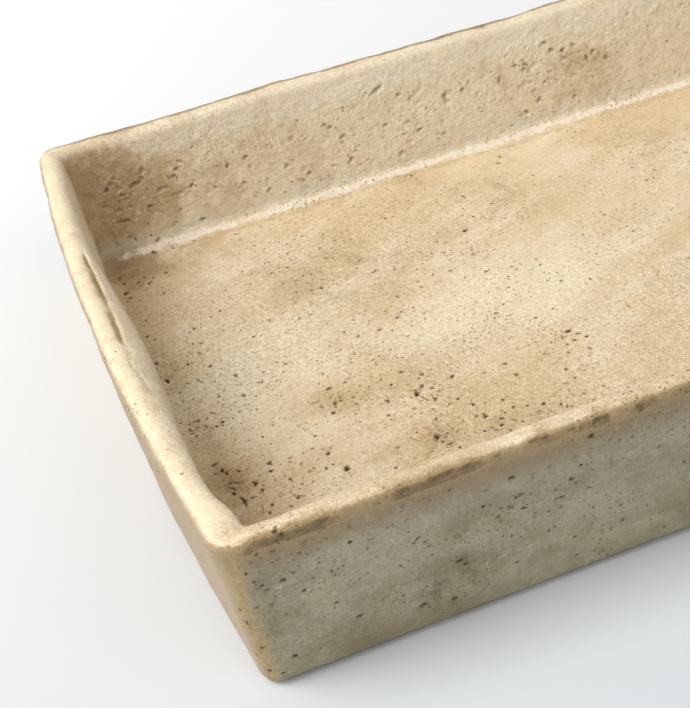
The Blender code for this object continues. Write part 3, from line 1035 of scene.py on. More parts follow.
def waves(places, size, seed, count=20):
    """A smooth random field, about one high, with swells of about the given size in mm."""
    draw = np.random.default_rng(seed)
    directions = draw.normal(size=(count, 3))
    directions /= np.linalg.norm(directions, axis=1)[:, None]
    lengths = size * draw.uniform(0.7, 1.5, count)
    phases = draw.uniform(0, 2 * math.pi, count)
    total = np.zeros(len(places))
    for direction, length, phase in zip(directions, lengths, phases):
        total += np.sin(places @ direction * (2 * math.pi / length) + phase)
    return total * math.sqrt(2 / count)


# How strong the bead of smoothed clay is along each floor seam
BEAD_OF_SIDE = {"front": 0.5, "right": 0.6, "back": 1.0, "left": 0.15}


class Shaped:
    """Final places, normals and surface shares of every vertex of the skin."""

    def __init__(self, skin, marks, stains_and_shade):
        self.skin = skin
        self.across = np.array([self.distance_across(domain, flat) for domain, flat in self.skin.flat_of])
        self.places = folded(settle(np.array(skin.plumb)), self.across)
        faces = [face for piece in skin.faces.values() for face in piece]
        self.triangles = np.array(faces)
        self.normals = self.measure_normals()
        self.rest = self.places.copy()
        self.locate()
        self.stained_and_shaded = self.stain_and_shade(stains_and_shade)
        self.press(marks)
        self.places += self.normals * (self.lift() + self.pressed)[:, None] * self.free[:, None]
        self.places[:, 2] += self.rim_sway() * self.free
        self.places[:, 2] = np.maximum(self.places[:, 2], 0.0)
        self.normals = self.measure_normals()

    def measure_normals(self):
        a, b, c = (self.places[self.triangles[:, i]] for i in range(3))
        flat = np.cross(b - a, c - a)
        normals = np.zeros_like(self.places)
        for i in range(3):
            np.add.at(normals, self.triangles[:, i], flat)
        lengths = np.linalg.norm(normals, axis=1)
        normals[lengths == 0] = (0.0, 0.0, 1.0)
        lengths[lengths == 0] = 1.0
        return normals / lengths[:, None]

    def locate(self):
        """Where each vertex lies: on which wall and how far round the rim, and how free it is to move."""
        flat_of = self.skin.flat_of
        self.domain = np.array([domain for domain, _ in flat_of])
        self.from_mitre = np.array([self.distance_from_mitre(domain, flat) for domain, flat in flat_of])
        self.long_wall = self.on_long_wall()
        self.front = self.long_wall * (self.rest[:, 1] < 0)
        self.outside = (self.across > 0) * (1 - ease(self.across, ENDS["outer"] + 1.4, ENDS["outer"] + 3.4))
        self.bead_share = self.near_seam()
        self.free = ease(self.across, 1.0, ENDS["base"])
        self.free[self.skin.shown:] = 0.0

    def near_seam(self):
        """How strong the bead of the seam is beside each vertex: strongest along the back wall."""
        x, y = self.rest[:, 0], self.rest[:, 1]
        gaps = {"front": y + BASE_DEPTH / 2, "back": BASE_DEPTH / 2 - y,
                "left": x + BASE_LENGTH / 2, "right": BASE_LENGTH / 2 - x}
        weights = {side: np.exp(-np.maximum(gap - COIL_TOE, 0) / 1.5) for side, gap in gaps.items()}
        weights["back"] *= 4
        total = sum(weights.values()) + 1e-6
        return sum(BEAD_OF_SIDE[side] * weight for side, weight in weights.items()) / total

    def distance_across(self, domain, flat):
        """Distance along the section, carried on over the floor, and below zero under the tray."""
        if domain in SIDES:
            return flat[1]
        inset = COIL_TOE if domain == "floor" else FOOT_ROUND
        inside = min(BASE_LENGTH / 2 - inset - abs(flat[0]), BASE_DEPTH / 2 - inset - abs(flat[1]))
        return ENDS["coil"] + inside if domain == "floor" else -inside

    def distance_from_mitre(self, domain, flat):
        return min(flat[0], map_length(domain) - flat[0]) if domain in SIDES else BASE_DEPTH

    def stain_and_shade(self, stains_and_shade):
        """How brown, or below zero how pale, the staining and the painted shade make each vertex."""
        total = np.zeros(len(self.rest))
        for centre, normal, radius, strength in stains_and_shade:
            reach = np.linalg.norm(self.rest - centre, axis=1) / radius
            total += strength * np.exp(-reach ** 2) * (self.normals @ normal > 0.3)
        return total

    def press(self, marks):
        """Push the marks in, and note how dark each vertex lies in them."""
        tree = kdtree.KDTree(self.skin.shown)
        for index, place in enumerate(self.places[:self.skin.shown]):
            tree.insert(place, index)
        tree.balance()
        self.pressed = np.zeros(len(self.places))
        self.pit = np.zeros(len(self.places))
        self.folds = np.zeros(len(self.places))
        for mark in marks:
            found = [index for _, index, _ in tree.find_range(mark.centre, mark.length * 1.9)]
            if not found:
                continue
            depth, dark = mark.press(self.places[found])
            self.pressed[found] = np.where(np.abs(depth) > np.abs(self.pressed[found]),
                                           depth, self.pressed[found])
            self.pit[found] = np.where(np.abs(dark) > np.abs(self.pit[found]), dark, self.pit[found])
            if isinstance(mark, Crease):
                self.folds[found] = np.maximum(self.folds[found], mark.brown)

    def lift(self):
        """How far each vertex moves out of its face, apart from the marks."""
        rest = self.rest
        rim = between(self.across, ENDS["outer"] - 5, ENDS["outer"] + 1,
                      ENDS["inner_rim"], ENDS["inner_rim"] + 5)
        swell = 0.22 * waves(rest, 70, 1) + 0.12 * waves(rest, 26, 2) + 0.05 * waves(rest, 11, 3)
        lumps = (0.05 + 0.05 * self.long_wall) * waves(rest, 22, 4) + 0.05 * waves(rest, 7, 5)
        return (1 - 0.5 * rim) * swell + rim * lumps + self.chipped_edge() + self.seam_bead()

    def chipped_edge(self):
        """The crisp outer edge of the rim and the bites out of it, both weak on the back wall."""
        at_back = (self.rest[:, 1] > 0) * self.long_wall
        edge = hump(self.across, ENDS["outer"] + 3.3, 1.7) * (1 - 0.75 * at_back)
        bites = np.clip(waves(self.rest, 12, 6) - 0.9, 0, 1.0)
        bites += 0.7 * np.clip(waves(self.rest, 5, 7) - 1.0, 0, 1)
        bites *= 0.04 + 0.96 * self.long_wall
        return edge * (0.38 * self.long_wall - 0.42 * bites)

    def seam_bead(self):
        """The bead of smoothed clay along the floor seams, and the groove between it and the floor."""
        rest = self.rest
        uneven = 0.13 * waves(rest, 2.6, 8) + 0.10 * waves(rest, 5, 12) + 0.12 * waves(rest, 13, 11)
        bead = hump(self.across, ENDS["coil"] - 1.8, 1.9) * (0.55 + uneven)
        groove = hump(self.across, ENDS["coil"] + 1.5, 1.3) * (0.24 + 0.08 * waves(rest, 16, 12))
        return self.bead_share * (bead - groove)

    def on_long_wall(self):
        """1 on the front and back walls, 0 on the end walls, blended round the corners."""
        from_end = BASE_LENGTH / 2 - np.abs(self.rest[:, 0])
        from_face = BASE_DEPTH / 2 - np.abs(self.rest[:, 1])
        return ease(from_end - from_face, -7, 9)

    def rim_sway(self):
        """How far the rim rises and falls."""
        rim = between(self.across, ENDS["outer"] - 12, ENDS["outer"] + 2,
                      ENDS["inner_rim"] - 2, ENDS["inner_rim"] + 12)
        return rim * (0.18 * waves(self.rest, 60, 9) + 0.06 * waves(self.rest, 18, 10))

    def shares(self):
        """What the glaze follows at each vertex, by name, each from 0 to 1."""
        shares = {
            "pit": self.pit,
            # painted highlight: pit darkness below zero
            "painted_highlight": -self.pit,
            # staining, with painted shade in the inner left corners
            "stain_and_shade": 0.5 + 0.5 * self.stained_and_shaded,
            "thin": self.thin_glaze(),
            "bare": (self.domain == "underside") * 1.0,
            "sandy": 0.45 - 0.90 * self.rest[:, 0] / BASE_LENGTH + 0.25 * waves(self.rest, 80, 14),
        }
        shares.update(self.outside_shares())
        shares.update(self.rim_shares())
        shares.update(self.seam_shares())
        return {name: np.clip(share, 0, 1) for name, share in shares.items()}

    def thin_glaze(self):
        """Edges from which the glaze ran off, the valley beside a fold and, faintly, the end walls."""
        at_back = (self.rest[:, 1] > 0) * self.long_wall
        up_the_rim = self.across - ENDS["outer"] - 3.2 * at_back
        along_walls = np.maximum(0.35 + 0.65 * self.long_wall, 0.85 * hump(self.from_mitre, 0, 7.0))
        rim_edge = between(up_the_rim, -1.7, 0.7, 2.1, 3.5) * along_walls
        foot_edge = 0.15 * hump(self.across, 3.0, 4.0) * (self.across > -1)
        upright = 1.05 * hump(self.from_mitre, 0, 2.3) * self.outside
        cloudy = 0.28 + 0.06 * waves(self.rest * (1, 1, 0.25), 7, 15)
        end_wall = cloudy * self.outside * (1 - self.long_wall)
        return np.maximum.reduce([rim_edge, foot_edge, upright, end_wall, self.folds])

    def outside_shares(self):
        """The olive glaze of the outer faces, partly painted shade and strongest on the front and back,
        painted shade in brown just under the rim, and the duller end walls.
        """
        across, outside, normals = self.across, self.outside, self.normals
        level = np.maximum(np.hypot(normals[:, 0], normals[:, 1]), 0.01)
        # painted shade as well as glaze: outer faces that look along y, as the front does, take more of the
        # olive
        side_face = 0.42 + 0.58 * ease(np.abs(normals[:, 1]) / level, 0.05, 0.45)
        # painted shade: brown just under the rim's overhang, most on the front
        under = hump(across, ENDS["outer"] - 2.4, 4.6) * outside * (0.35 + 0.65 * self.front)
        return {
            "outer_glaze_and_shade": outside * side_face,
            "end": outside * (1 - self.long_wall),
            "under": under,
            "upper": ease(across, ENDS["outer"] - 16, ENDS["outer"] - 5) * outside,
        }

    def rim_shares(self):
        """The rim's top, a painted highlight on the lit rims of the end walls, their dull lip, and the wiped
        band on the inner face.
        """
        across, end_wall = self.across, 1 - self.long_wall
        rim, inner_rim, inner = ENDS["rim"], ENDS["inner_rim"], ENDS["inner"]
        lip = end_wall * np.clip(1.3 * hump(self.rest[:, 1], FOLD_AT, FOLD_SPREAD), 0, 1)
        lit = end_wall * ease(self.from_mitre, 1, 12)
        top = between(across, ENDS["outer"], ENDS["outer_rim"], inner_rim - 1, inner_rim + 1)
        band = between(across, rim, inner_rim, inner_rim + 3, inner_rim + SMOOTH_BAND + 6)
        return {
            "rim": top * (1 - 0.75 * self.front),
            "lit": lit * between(across, ENDS["outer"] - 1, ENDS["outer"] + 2, rim, inner_rim),
            "lip": lip * between(across, rim - 0.8, rim + 0.8, inner_rim, inner_rim + 5),
            "band": band * (1 - 0.85 * self.front),
            "inner": between(across, inner_rim, inner_rim + 3, inner, inner + 2),
        }

    def seam_shares(self):
        """The pale bead of the floor seams, pooled glaze with a painted highlight that fades a little as
        painted shade towards the end walls, painted grey shade in the hollow above it and the brown groove
        below it.
        """
        from_end = BASE_LENGTH / 2 - np.abs(self.rest[:, 0]) - COIL_TOE
        # painted shade: the bead's highlight fades a little towards the end walls
        along = ease(from_end, -6, 2) * (0.85 + 0.15 * ease(from_end, 4, 60))
        return {
            "pooled_glaze_and_highlight": hump(self.across, ENDS["coil"] - 2.0, 2.3) * self.bead_share * along,
            "seam_hollow_shade": hump(self.across, ENDS["inner"] - 1.0, 2.2) * (0.3 + 0.7 * self.bead_share),
            "groove": hump(self.across, ENDS["coil"] + 1.8, 1.6) * self.bead_share,
        }


# Materials

class Nodes:
    """Short words for building a node tree."""

    def __init__(self, material):
        material.use_nodes = True
        self.tree = material.node_tree
        self.shader = self.tree.nodes["Principled BSDF"]
        self.place = self.add("ShaderNodeTexCoord").outputs["Object"]

    def add(self, kind, **settings):
        node = self.tree.nodes.new(kind)
        for name, value in settings.items():
            setattr(node, name, value)
        return node

    def link(self, value, socket):
        if isinstance(value, bpy.types.NodeSocket):
            self.tree.links.new(value, socket)
        else:
            socket.default_value = value

    def share(self, name):
        return self.add("ShaderNodeAttribute", attribute_name=name).outputs["Fac"]

    def stretched(self, turn, scales):
        node = self.add("ShaderNodeMapping", vector_type="TEXTURE")
        self.link(self.place, node.inputs["Vector"])
        node.inputs["Rotation"].default_value = tuple(math.radians(a) for a in turn)
        node.inputs["Scale"].default_value = scales
        return node.outputs["Vector"]

    def noise(self, size, detail=3.0, roughness=0.5, distortion=0.0, place=None):
        """Noise with clouds of about the given size in mm."""
        node = self.add("ShaderNodeTexNoise")
        self.link(place or self.place, node.inputs["Vector"])
        node.inputs["Scale"].default_value = 1 / (size * MM)
        node.inputs["Detail"].default_value = detail
        node.inputs["Roughness"].default_value = roughness
        node.inputs["Distortion"].default_value = distortion
        return node.outputs["Fac"]

    def cells(self, size, place=None):
        node = self.add("ShaderNodeTexVoronoi", feature="F1")
        self.link(place or self.place, node.inputs["Vector"])
        node.inputs["Scale"].default_value = 1 / (size * MM)
        return node.outputs["Distance"], node.outputs["Color"]

    def swing(self, value):
        """The value less a half, so that noise goes up and down round 0."""
        return self.math("SUBTRACT", value, 0.5)

    def math(self, operation, *values):
        node = self.add("ShaderNodeMath", operation=operation)
        for value, socket in zip(values, node.inputs):
            self.link(value, socket)
        return node.outputs[0]

    def ease(self, value, low, high):
        """0 below low, 1 above high, smooth between."""
        node = self.add("ShaderNodeMapRange", interpolation_type="SMOOTHSTEP")
        self.link(value, node.inputs["Value"])
        self.link(low, node.inputs["From Min"])
        self.link(high, node.inputs["From Max"])
        return node.outputs["Result"]

    def mix(self, share, first, second, blend="MIX"):
        node = self.add("ShaderNodeMix", data_type="RGBA", blend_type=blend)
        for value, index in ((share, 0), (first, 6), (second, 7)):
            self.link((*value, 1.0) if isinstance(value, tuple) else value, node.inputs[index])
        return node.outputs[2]

    def warm_shade(self, value):
        """A factor for colours: where it is dark, blue falls off first."""
        node = self.add("ShaderNodeCombineColor")
        for socket, power in zip(node.inputs, (0.75, 1.0, 1.5)):
            self.link(self.math("POWER", value, power), socket)
        return node.outputs[0]

    def first(self, colour):
        node = self.add("ShaderNodeSeparateColor")
        self.link(colour, node.inputs[0])
        return node.outputs[0]

    def times(self, *values):
        result = values[0]
        for value in values[1:]:
            result = self.math("MULTIPLY", result, value)
        return result

    def plus(self, *values):
        result = values[0]
        for value in values[1:]:
            result = self.math("ADD", result, value)
        return result


# Linear colours of the glaze inside
SAND = (0.720, 0.555, 0.345)
CREAM = (0.860, 0.750, 0.560)
TAN = (0.500, 0.350, 0.180)
BROWN = (0.340, 0.250, 0.140)
STONE = (0.860, 0.780, 0.620)
CHALK = (0.900, 0.825, 0.695)
# painted grey shade, for the hollow above the floor seams
PAINTED_SHADE_GREY = (0.690, 0.660, 0.550)
# painted highlight, for the lit rims of the end walls
PAINTED_HIGHLIGHT_CREAM = (0.950, 0.810, 0.570)
DULL = (0.520, 0.410, 0.285)

# Outside
ASH = (0.450, 0.407, 0.284)
ASH_GREY = (0.490, 0.457, 0.350)
OLIVE = (0.300, 0.260, 0.160)
OLIVE_BROWN = (0.215, 0.175, 0.095)
END_TAN = (0.440, 0.335, 0.225)

# Where the glaze is thin, in pits and on the bare underside
RUST = (0.405, 0.290, 0.142)
UMBER = (0.230, 0.155, 0.070)
PIT_BROWN = (0.085, 0.050, 0.021)
PIT_OLIVE = (0.060, 0.048, 0.024)
SPECK_BROWN = (0.220, 0.135, 0.055)
CLAY = (0.520, 0.360, 0.220)


def clouded(nodes):
    """The glaze's broad colour: sand, with cream clouds, tan veils and brushed streaks, a painted highlight
    on the rims of the end walls, and deep brown where staining and painted shade are strongest.
    """
    broad = nodes.noise(60, 3.0, 0.55)
    streaks = nodes.noise(1000, 5.0, 0.6, place=nodes.stretched((0, 0, 24), (0.055, 0.012, 0.02)))
    mottle = nodes.noise(9, 5.0, 0.65)
    stain_and_shade = nodes.swing(nodes.share("stain_and_shade"))
    pale = nodes.plus(nodes.times(broad, 0.40), nodes.times(streaks, 0.40), nodes.times(mottle, 0.20),
                      nodes.times(stain_and_shade, -0.30))
    cream = nodes.ease(pale, 0.40, 0.66)
    brown = nodes.plus(nodes.times(nodes.noise(26, 5.0, 0.62, 0.5), 0.5), nodes.times(mottle, 0.3),
                       nodes.times(nodes.noise(2.6, 3.0, 0.6), 0.2), nodes.times(stain_and_shade, 0.34))
    tan = nodes.ease(brown, 0.48, 0.72)
    colour = nodes.mix(nodes.times(cream, 0.85), SAND, CREAM)
    colour = nodes.mix(nodes.times(nodes.share("inner"), 0.70), colour, STONE)
    band = nodes.ease(nodes.plus(nodes.share("band"), nodes.times(mottle, 0.6)), 0.40, 1.0)
    colour = nodes.mix(nodes.times(band, 0.75), colour, CHALK)
    rim = nodes.share("rim")
    colour = nodes.mix(nodes.times(rim, nodes.ease(mottle, 0.25, 0.55), 0.8), colour, CREAM)
    # painted highlight on the end walls' rims, lit from the left
    lit = nodes.share("lit")
    colour = nodes.mix(nodes.times(lit, nodes.ease(mottle, 0.25, 0.55), 0.9), colour, PAINTED_HIGHLIGHT_CREAM)
    colour = nodes.mix(nodes.times(nodes.share("lip"), 0.55), colour, DULL)
    colour = nodes.mix(nodes.times(tan, nodes.plus(0.80, nodes.times(rim, -0.40))), colour, TAN)
    # painted shade as well as staining: deep brown where both are strongest, mostly in the inner left
    # corners
    deep = nodes.times(nodes.ease(nodes.share("stain_and_shade"), 0.65, 1.0), nodes.ease(brown, 0.50, 0.78))
    return nodes.mix(nodes.times(deep, 0.60), colour, BROWN)


def outside_colour(nodes):
    """The outer faces: ash and olive in smears along the walls, with brown patches."""
    smears = nodes.noise(1000, 5.0, 0.55, 0.3, place=nodes.stretched((0, 0, 0), (0.034, 0.034, 0.011)))
    mottle = nodes.noise(6.0, 5.0, 0.62)
    stain_and_shade = nodes.swing(nodes.share("stain_and_shade"))
    tone = nodes.plus(nodes.times(smears, 0.58), nodes.times(mottle, 0.42), nodes.times(stain_and_shade, -0.22))
    colour = nodes.mix(nodes.ease(tone, 0.30, 0.70), OLIVE, ASH)
    patches = nodes.plus(nodes.times(nodes.noise(13, 5.0, 0.6, 0.6), 0.80),
                         nodes.times(nodes.noise(2.2, 3.0, 0.6), 0.20), nodes.times(stain_and_shade, 0.38))
    colour = nodes.mix(nodes.times(nodes.ease(patches, 0.50, 0.74), 0.65), colour, OLIVE_BROWN)
    return nodes.mix(nodes.times(nodes.share("upper"), 0.40), colour, ASH_GREY)


def worked(nodes, colour):
    """The broad colour, with the olive outer faces and their painted shade, painted shade under the rim, the
    thin brown edges and the pale floor seams.
    """
    mottle = nodes.noise(3.4, 5.0, 0.68)
    ragged = nodes.swing(nodes.noise(4.2, 5.0, 0.72))
    flowing = nodes.swing(nodes.noise(11, 4.0, 0.6))
    # the outer faces' olive glaze, partly painted shade
    outer_glaze_and_shade = nodes.plus(nodes.share("outer_glaze_and_shade"), nodes.times(flowing, 0.9), nodes.times(ragged, 0.5))
    outer_glaze_and_shade_mix = nodes.ease(outer_glaze_and_shade, 0.20, 0.85)
    colour = nodes.mix(outer_glaze_and_shade_mix, colour, outside_colour(nodes))
    colour = nodes.mix(nodes.times(nodes.share("end"), 0.92), colour, END_TAN)
    # painted shade under the rim, in brown
    under = nodes.times(nodes.share("under"), nodes.ease(nodes.plus(mottle, flowing), 0.05, 0.50))
    colour = nodes.mix(nodes.times(under, 0.96), colour, BROWN)
    thin = thin_share(nodes, ragged, flowing)
    dark = nodes.plus(nodes.times(mottle, 0.8), thin, nodes.times(outer_glaze_and_shade_mix, 0.22))
    rust = nodes.mix(nodes.ease(dark, 1.65, 2.45), RUST, UMBER)
    colour = nodes.mix(nodes.times(nodes.ease(thin, 0.15, 0.90), 0.90), colour, rust)
    return seam_glazed(nodes, colour, ragged)


def thin_share(nodes, ragged, flowing):
    """How thin the glaze is: the surface share with an uneven outline, more where staining and painted shade
    darken it.
    """
    edge = nodes.share("thin")
    stained_and_shaded = nodes.times(nodes.swing(nodes.share("stain_and_shade")), nodes.plus(0.4, edge))
    uneven = nodes.plus(nodes.times(flowing, 1.5), nodes.times(ragged, 1.5))
    return nodes.plus(edge, nodes.times(uneven, nodes.plus(0.35, edge)), nodes.times(stained_and_shaded, 1.2))


def seam_glazed(nodes, colour, ragged):
    """Glaze pooled on the bead of the floor seams with a painted highlight, painted grey shade above it, and
    painted highlights on the lit sides of dents and on torn flecks.
    """
    # painted grey shade in the hollow above the bead
    colour = nodes.mix(nodes.times(nodes.share("seam_hollow_shade"), 0.45), colour, PAINTED_SHADE_GREY)
    groove = nodes.ease(nodes.plus(nodes.share("groove"), nodes.times(ragged, 1.0)), 0.45, 1.0)
    colour = nodes.mix(nodes.times(groove, 0.60), colour, TAN)
    # pooled glaze with a painted highlight on the bead
    bead = nodes.ease(nodes.plus(nodes.share("pooled_glaze_and_highlight"), nodes.times(ragged, 2.0)), 0.40, 0.85)
    colour = nodes.mix(nodes.times(bead, 0.88), colour, CHALK)
    # painted highlight on the lit sides of wall dents and on torn flecks
    return nodes.mix(nodes.times(nodes.share("painted_highlight"), 0.75), colour, CHALK)


def spots(nodes, size, crowd, least, most):
    """Small irregular dots, 1 inside them: one dot in each cell of the size given, where picked."""
    bend = nodes.add("ShaderNodeVectorMath", operation="MULTIPLY_ADD")
    wobble = nodes.add("ShaderNodeTexNoise")
    nodes.link(nodes.place, wobble.inputs["Vector"])
    wobble.inputs["Scale"].default_value = 1 / (0.5 * size * MM)
    nodes.link(wobble.outputs["Color"], bend.inputs[0])
    bend.inputs[1].default_value = (0.5 * size * MM,) * 3
    nodes.link(nodes.place, bend.inputs[2])
    distance, random_colour = nodes.cells(size, place=bend.outputs[0])
    pick = nodes.ease(nodes.plus(nodes.first(random_colour), nodes.times(crowd, 0.5)), 0.75, 1.25)
    radius = nodes.plus(nodes.times(pick, most), least)
    edge = nodes.math("MAXIMUM", radius, 0.012)
    return nodes.math("SUBTRACT", 1.0, nodes.ease(distance, nodes.times(edge, 0.35), edge))


def clay_roughness(nodes, smooth):
    """How coarse the clay under the glaze is: coarsest at the left of the floor."""
    return nodes.plus(0.42, nodes.times(nodes.share("sandy"), 0.80), nodes.times(smooth, -0.30),
                      nodes.times(nodes.share("outer_glaze_and_shade"), -0.45), nodes.times(nodes.share("lit"), -0.35),
                      nodes.times(nodes.share("inner"), -0.25))


def specks_in(nodes, smooth):
    """Brown specks in two sizes, crowded in patches of the floor."""
    patches = nodes.ease(nodes.noise(22, 3.0, 0.55), 0.42, 0.62)
    crowd = nodes.plus(patches, nodes.times(nodes.share("sandy"), 0.35), nodes.times(smooth, -0.9),
                       nodes.times(nodes.share("inner"), -0.45), nodes.times(nodes.share("outer_glaze_and_shade"), -0.40))
    fine = spots(nodes, 1.2, crowd, -0.03, 0.40)
    larger = spots(nodes, 2.9, crowd, -0.03, 0.26)
    return nodes.math("MAXIMUM", nodes.times(fine, 0.75), larger)


def pitted(nodes, colour):
    """The colour with dark pits and the brown round them, and how deep in a pit a place is."""
    outside = nodes.share("outer_glaze_and_shade")
    ragged = nodes.times(nodes.swing(nodes.noise(0.9, 3.0, 0.7)), 1.1)
    halo = nodes.ease(nodes.plus(nodes.share("pit"), nodes.times(ragged, 0.3)), 0.03, 0.40)
    colour = nodes.mix(nodes.times(halo, 0.55), colour, nodes.mix(outside, UMBER, OLIVE_BROWN))
    depth = nodes.ease(nodes.plus(nodes.share("pit"), ragged), 0.18, 0.95)
    colour = nodes.mix(nodes.times(depth, 0.92), colour, nodes.mix(outside, PIT_BROWN, PIT_OLIVE))
    return colour, depth


def add_shine(nodes, coarse, specks, depth):
    """A soft sheen that the pits and specks lack."""
    rough = nodes.plus(0.54, nodes.times(coarse, 0.5))
    nodes.link(nodes.math("MAXIMUM", rough, nodes.times(depth, 0.9)), nodes.shader.inputs["Roughness"])
    dull = nodes.math("MAXIMUM", depth, nodes.times(specks, 0.7))
    shine = nodes.times(nodes.math("SUBTRACT", 1.0, dull), 0.36)
    nodes.link(shine, nodes.shader.inputs["Specular IOR Level"])


def add_grain(nodes, rough_clay, grain, coarse, specks):
    """Relief too fine for the mesh: sand, sunk specks and the knobbly inner faces of the walls."""
    sand = nodes.times(rough_clay, nodes.plus(nodes.times(grain, 0.6), coarse))
    knobbly = nodes.times(nodes.share("inner"), nodes.swing(nodes.noise(3.6, 4.0, 0.6, 0.4)))
    relief = nodes.plus(sand, nodes.times(knobbly, 4.0), nodes.times(specks, -0.8))
    bump = nodes.add("ShaderNodeBump")
    bump.inputs["Strength"].default_value = 0.85
    bump.inputs["Distance"].default_value = 0.50 * MM
    nodes.link(relief, bump.inputs["Height"])
    nodes.link(bump.outputs["Normal"], nodes.shader.inputs["Normal"])


def glaze_material(name):
    material = bpy.data.materials.new(name)
    nodes = Nodes(material)
    smooth = nodes.math("MAXIMUM", nodes.share("rim"), nodes.share("band"))
    rough_clay = clay_roughness(nodes, smooth)
    grain = nodes.swing(nodes.noise(0.50, 2.0, 0.6))
    coarse = nodes.swing(nodes.noise(1.6, 3.0, 0.6))
    shade = nodes.plus(1.0, nodes.times(rough_clay, grain, 1.25), nodes.times(rough_clay, coarse, 0.80))
    colour = worked(nodes, clouded(nodes))
    colour = nodes.mix(1.0, colour, nodes.warm_shade(shade), blend="MULTIPLY")
    specks = specks_in(nodes, smooth)
    colour = nodes.mix(nodes.times(specks, 0.85), colour, SPECK_BROWN)
    colour, depth = pitted(nodes, colour)
    colour = nodes.mix(nodes.share("bare"), colour, CLAY)
    nodes.link(colour, nodes.shader.inputs["Base Color"])
    add_shine(nodes, coarse, specks, depth)
    add_grain(nodes, rough_clay, grain, coarse, specks)
    return material


# Pieces

def piece_mesh(name, skin, shaped, shares):
    """A closed mesh of one piece, in metres, with the skin's own normals and surface shares."""
    faces = skin.faces[name] + skin.seam_faces(name)
    used = sorted({corner for face in faces for corner in face})
    renumber = {old: new for new, old in enumerate(used)}
    data = bpy.data.meshes.new(name)
    data.from_pydata((shaped.places[used] * MM).tolist(), [],
                     [[renumber[corner] for corner in face] for face in faces])
    turn_outwards(data, shaped.normals[used])
    data.shade_smooth()
    for share, values in shares.items():
        layer = data.attributes.new(share, "FLOAT", "POINT")
        layer.data.foreach_set("value", values[used].astype(np.float32))
    data.normals_split_custom_set_from_vertices(shaped.normals[used].tolist())
    return data


def turn_outwards(data, normals):
    """Split the hidden faces into triangles and turn every face outwards, as the first one shows."""
    mesh = bmesh.new()
    mesh.from_mesh(data)
    hidden = [face for face in mesh.faces if len(face.verts) > 3]
    bmesh.ops.triangulate(mesh, faces=hidden)
    bmesh.ops.recalc_face_normals(mesh, faces=mesh.faces)
    mesh.faces.ensure_lookup_table()
    first = mesh.faces[0]
    if first.normal.dot(Vector(normals[first.verts[0].index])) < 0:
        bmesh.ops.reverse_faces(mesh, faces=mesh.faces)
    mesh.to_mesh(data)
    mesh.free()


def slot_of(name):
    if name == "base_slab":
        return "floor_glaze"
    return "wall_glaze" if name.endswith("_wall") else "coil_glaze"


def add_pieces(skin, shaped):
    shares = shaped.shares()
    materials = {slot: glaze_material(slot) for slot in ("floor_glaze", "wall_glaze", "coil_glaze")}
    for name in sorted(skin.faces):
        slot = slot_of(name)
        data = piece_mesh(name, skin, shaped, shares)
        data.materials.append(materials[slot])
        piece = bpy.data.objects.new("glazed_" + name, data)
        bpy.context.scene.collection.objects.link(piece)
        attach(piece, "root")
        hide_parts(name)


# Table, lamps and camera

# The table: half its side in metres, and its colours before and behind the tray, the lighter one behind
# being painted light
TABLE_REACH = 6.0
TABLE_NEAR = (0.640, 0.690, 0.745)
TABLE_FAR_PAINTED_LIGHT = (0.760, 0.780, 0.800)
TABLE_GLOW = (1.0, 1.0, 0.99, 1.0)


def table_material():
    """Pale paper. Away from the tray the camera sees it lighter than it is lit."""
    material = bpy.data.materials.new("table_paper")
    nodes = Nodes(material)
    place = nodes.add("ShaderNodeSeparateXYZ")
    nodes.link(nodes.place, place.inputs[0])
    # painted light: the table gets lighter away from the camera
    far = nodes.ease(place.outputs["Y"], -0.30, 0.10)
    nodes.link(nodes.mix(far, TABLE_NEAR, TABLE_FAR_PAINTED_LIGHT), nodes.shader.inputs["Base Color"])
    seen = nodes.add("ShaderNodeLightPath").outputs["Is Camera Ray"]
    away = nodes.add("ShaderNodeVectorMath", operation="LENGTH")
    nodes.link(nodes.place, away.inputs[0])
    behind = nodes.times(nodes.ease(place.outputs["Y"], -0.10, 0.30), 0.14)
    around = nodes.times(nodes.ease(away.outputs["Value"], 0.18, 1.1), 0.60)
    nodes.link(nodes.times(seen, nodes.plus(behind, around)), nodes.shader.inputs["Emission Strength"])
    nodes.shader.inputs["Emission Color"].default_value = TABLE_GLOW
    nodes.shader.inputs["Roughness"].default_value = 0.9
    nodes.shader.inputs["Specular IOR Level"].default_value = 0.1
    return material


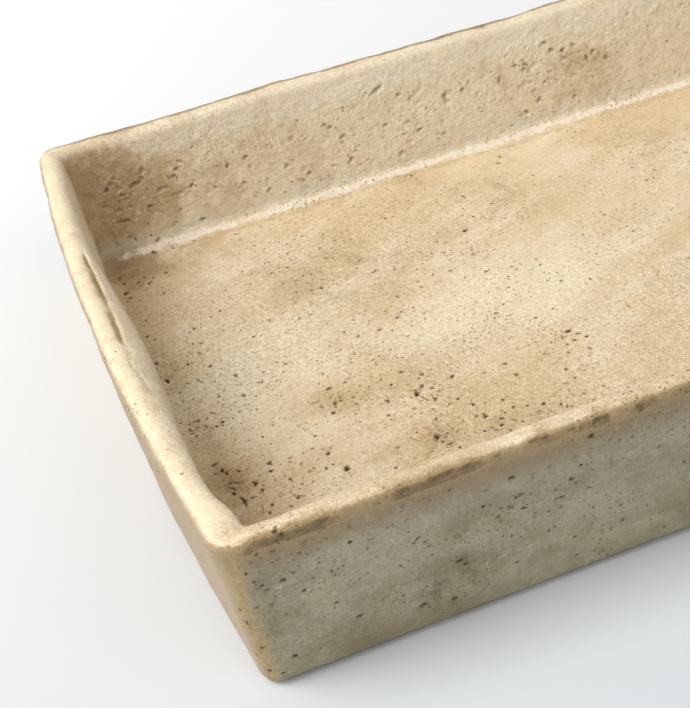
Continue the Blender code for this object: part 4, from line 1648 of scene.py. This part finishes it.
def add_table():
    corners = [(x * TABLE_REACH, y * TABLE_REACH, 0.0) for x, y in ((-1, -1), (1, -1), (1, 1), (-1, 1))]
    data = bpy.data.meshes.new("table")
    data.from_pydata(corners, [], [(0, 1, 2, 3)])
    data.materials.append(table_material())
    table = bpy.data.objects.new("table", data)
    bpy.context.scene.collection.objects.link(table)


def add_lamp(name, place, aim, size, power, colour):
    data = bpy.data.lights.new(name, "AREA")
    data.shape = "SQUARE"
    data.size = size
    data.energy = power
    data.color = colour
    lamp = bpy.data.objects.new(name, data)
    bpy.context.scene.collection.objects.link(lamp)
    lamp.location = place
    lamp.rotation_euler = (Vector(aim) - Vector(place)).to_track_quat("-Z", "Y").to_euler()


# Lamps: place and aim in metres, size, power and colour
LAMPS = {
    "window": ((-1.05, 0.0, 1.50), (-0.05, 0.0, 0.0), 1.0, 20.7, (1.0, 0.98, 0.95)),
    "low_window": ((-1.25, -0.15, 0.55), (-0.15, 0.0, 0.03), 0.8, 5.2, (1.0, 0.97, 0.92)),
    "far_wall": ((0.6, -1.5, 1.3), (0.0, 0.0, 0.0), 1.6, 7.0, (1.0, 0.98, 0.96)),
}
ROOM_COLOUR = (1.0, 0.985, 0.96, 1.0)
ROOM_STRENGTH = 0.42


def add_light():
    world = bpy.data.worlds.new("room")
    bpy.context.scene.world = world
    world.use_nodes = True
    background = world.node_tree.nodes["Background"]
    background.inputs["Color"].default_value = ROOM_COLOUR
    background.inputs["Strength"].default_value = ROOM_STRENGTH
    for name, settings in LAMPS.items():
        add_lamp(name, *settings)


def add_camera():
    data = bpy.data.cameras.new("camera")
    data.sensor_width = SENSOR
    data.lens = LENS
    data.clip_start = 0.01
    camera = bpy.data.objects.new("camera", data)
    bpy.context.scene.collection.objects.link(camera)
    turn = Matrix((RIGHT, UP, -AHEAD)).transposed().to_4x4()
    camera.matrix_world = Matrix.Translation(CAMERA_PLACE * MM) @ turn
    bpy.context.scene.camera = camera


def build():
    guide = Guide()
    marks = Marks(guide).list
    skin = Skin(marks)
    shaped = Shaped(skin, marks, seen_stains_and_shade(guide))
    add_pieces(skin, shaped)
    add_table()
    add_light()
    add_camera()
    bpy.context.scene.view_settings.view_transform = "Standard"
    bpy.context.view_layer.update()


build()
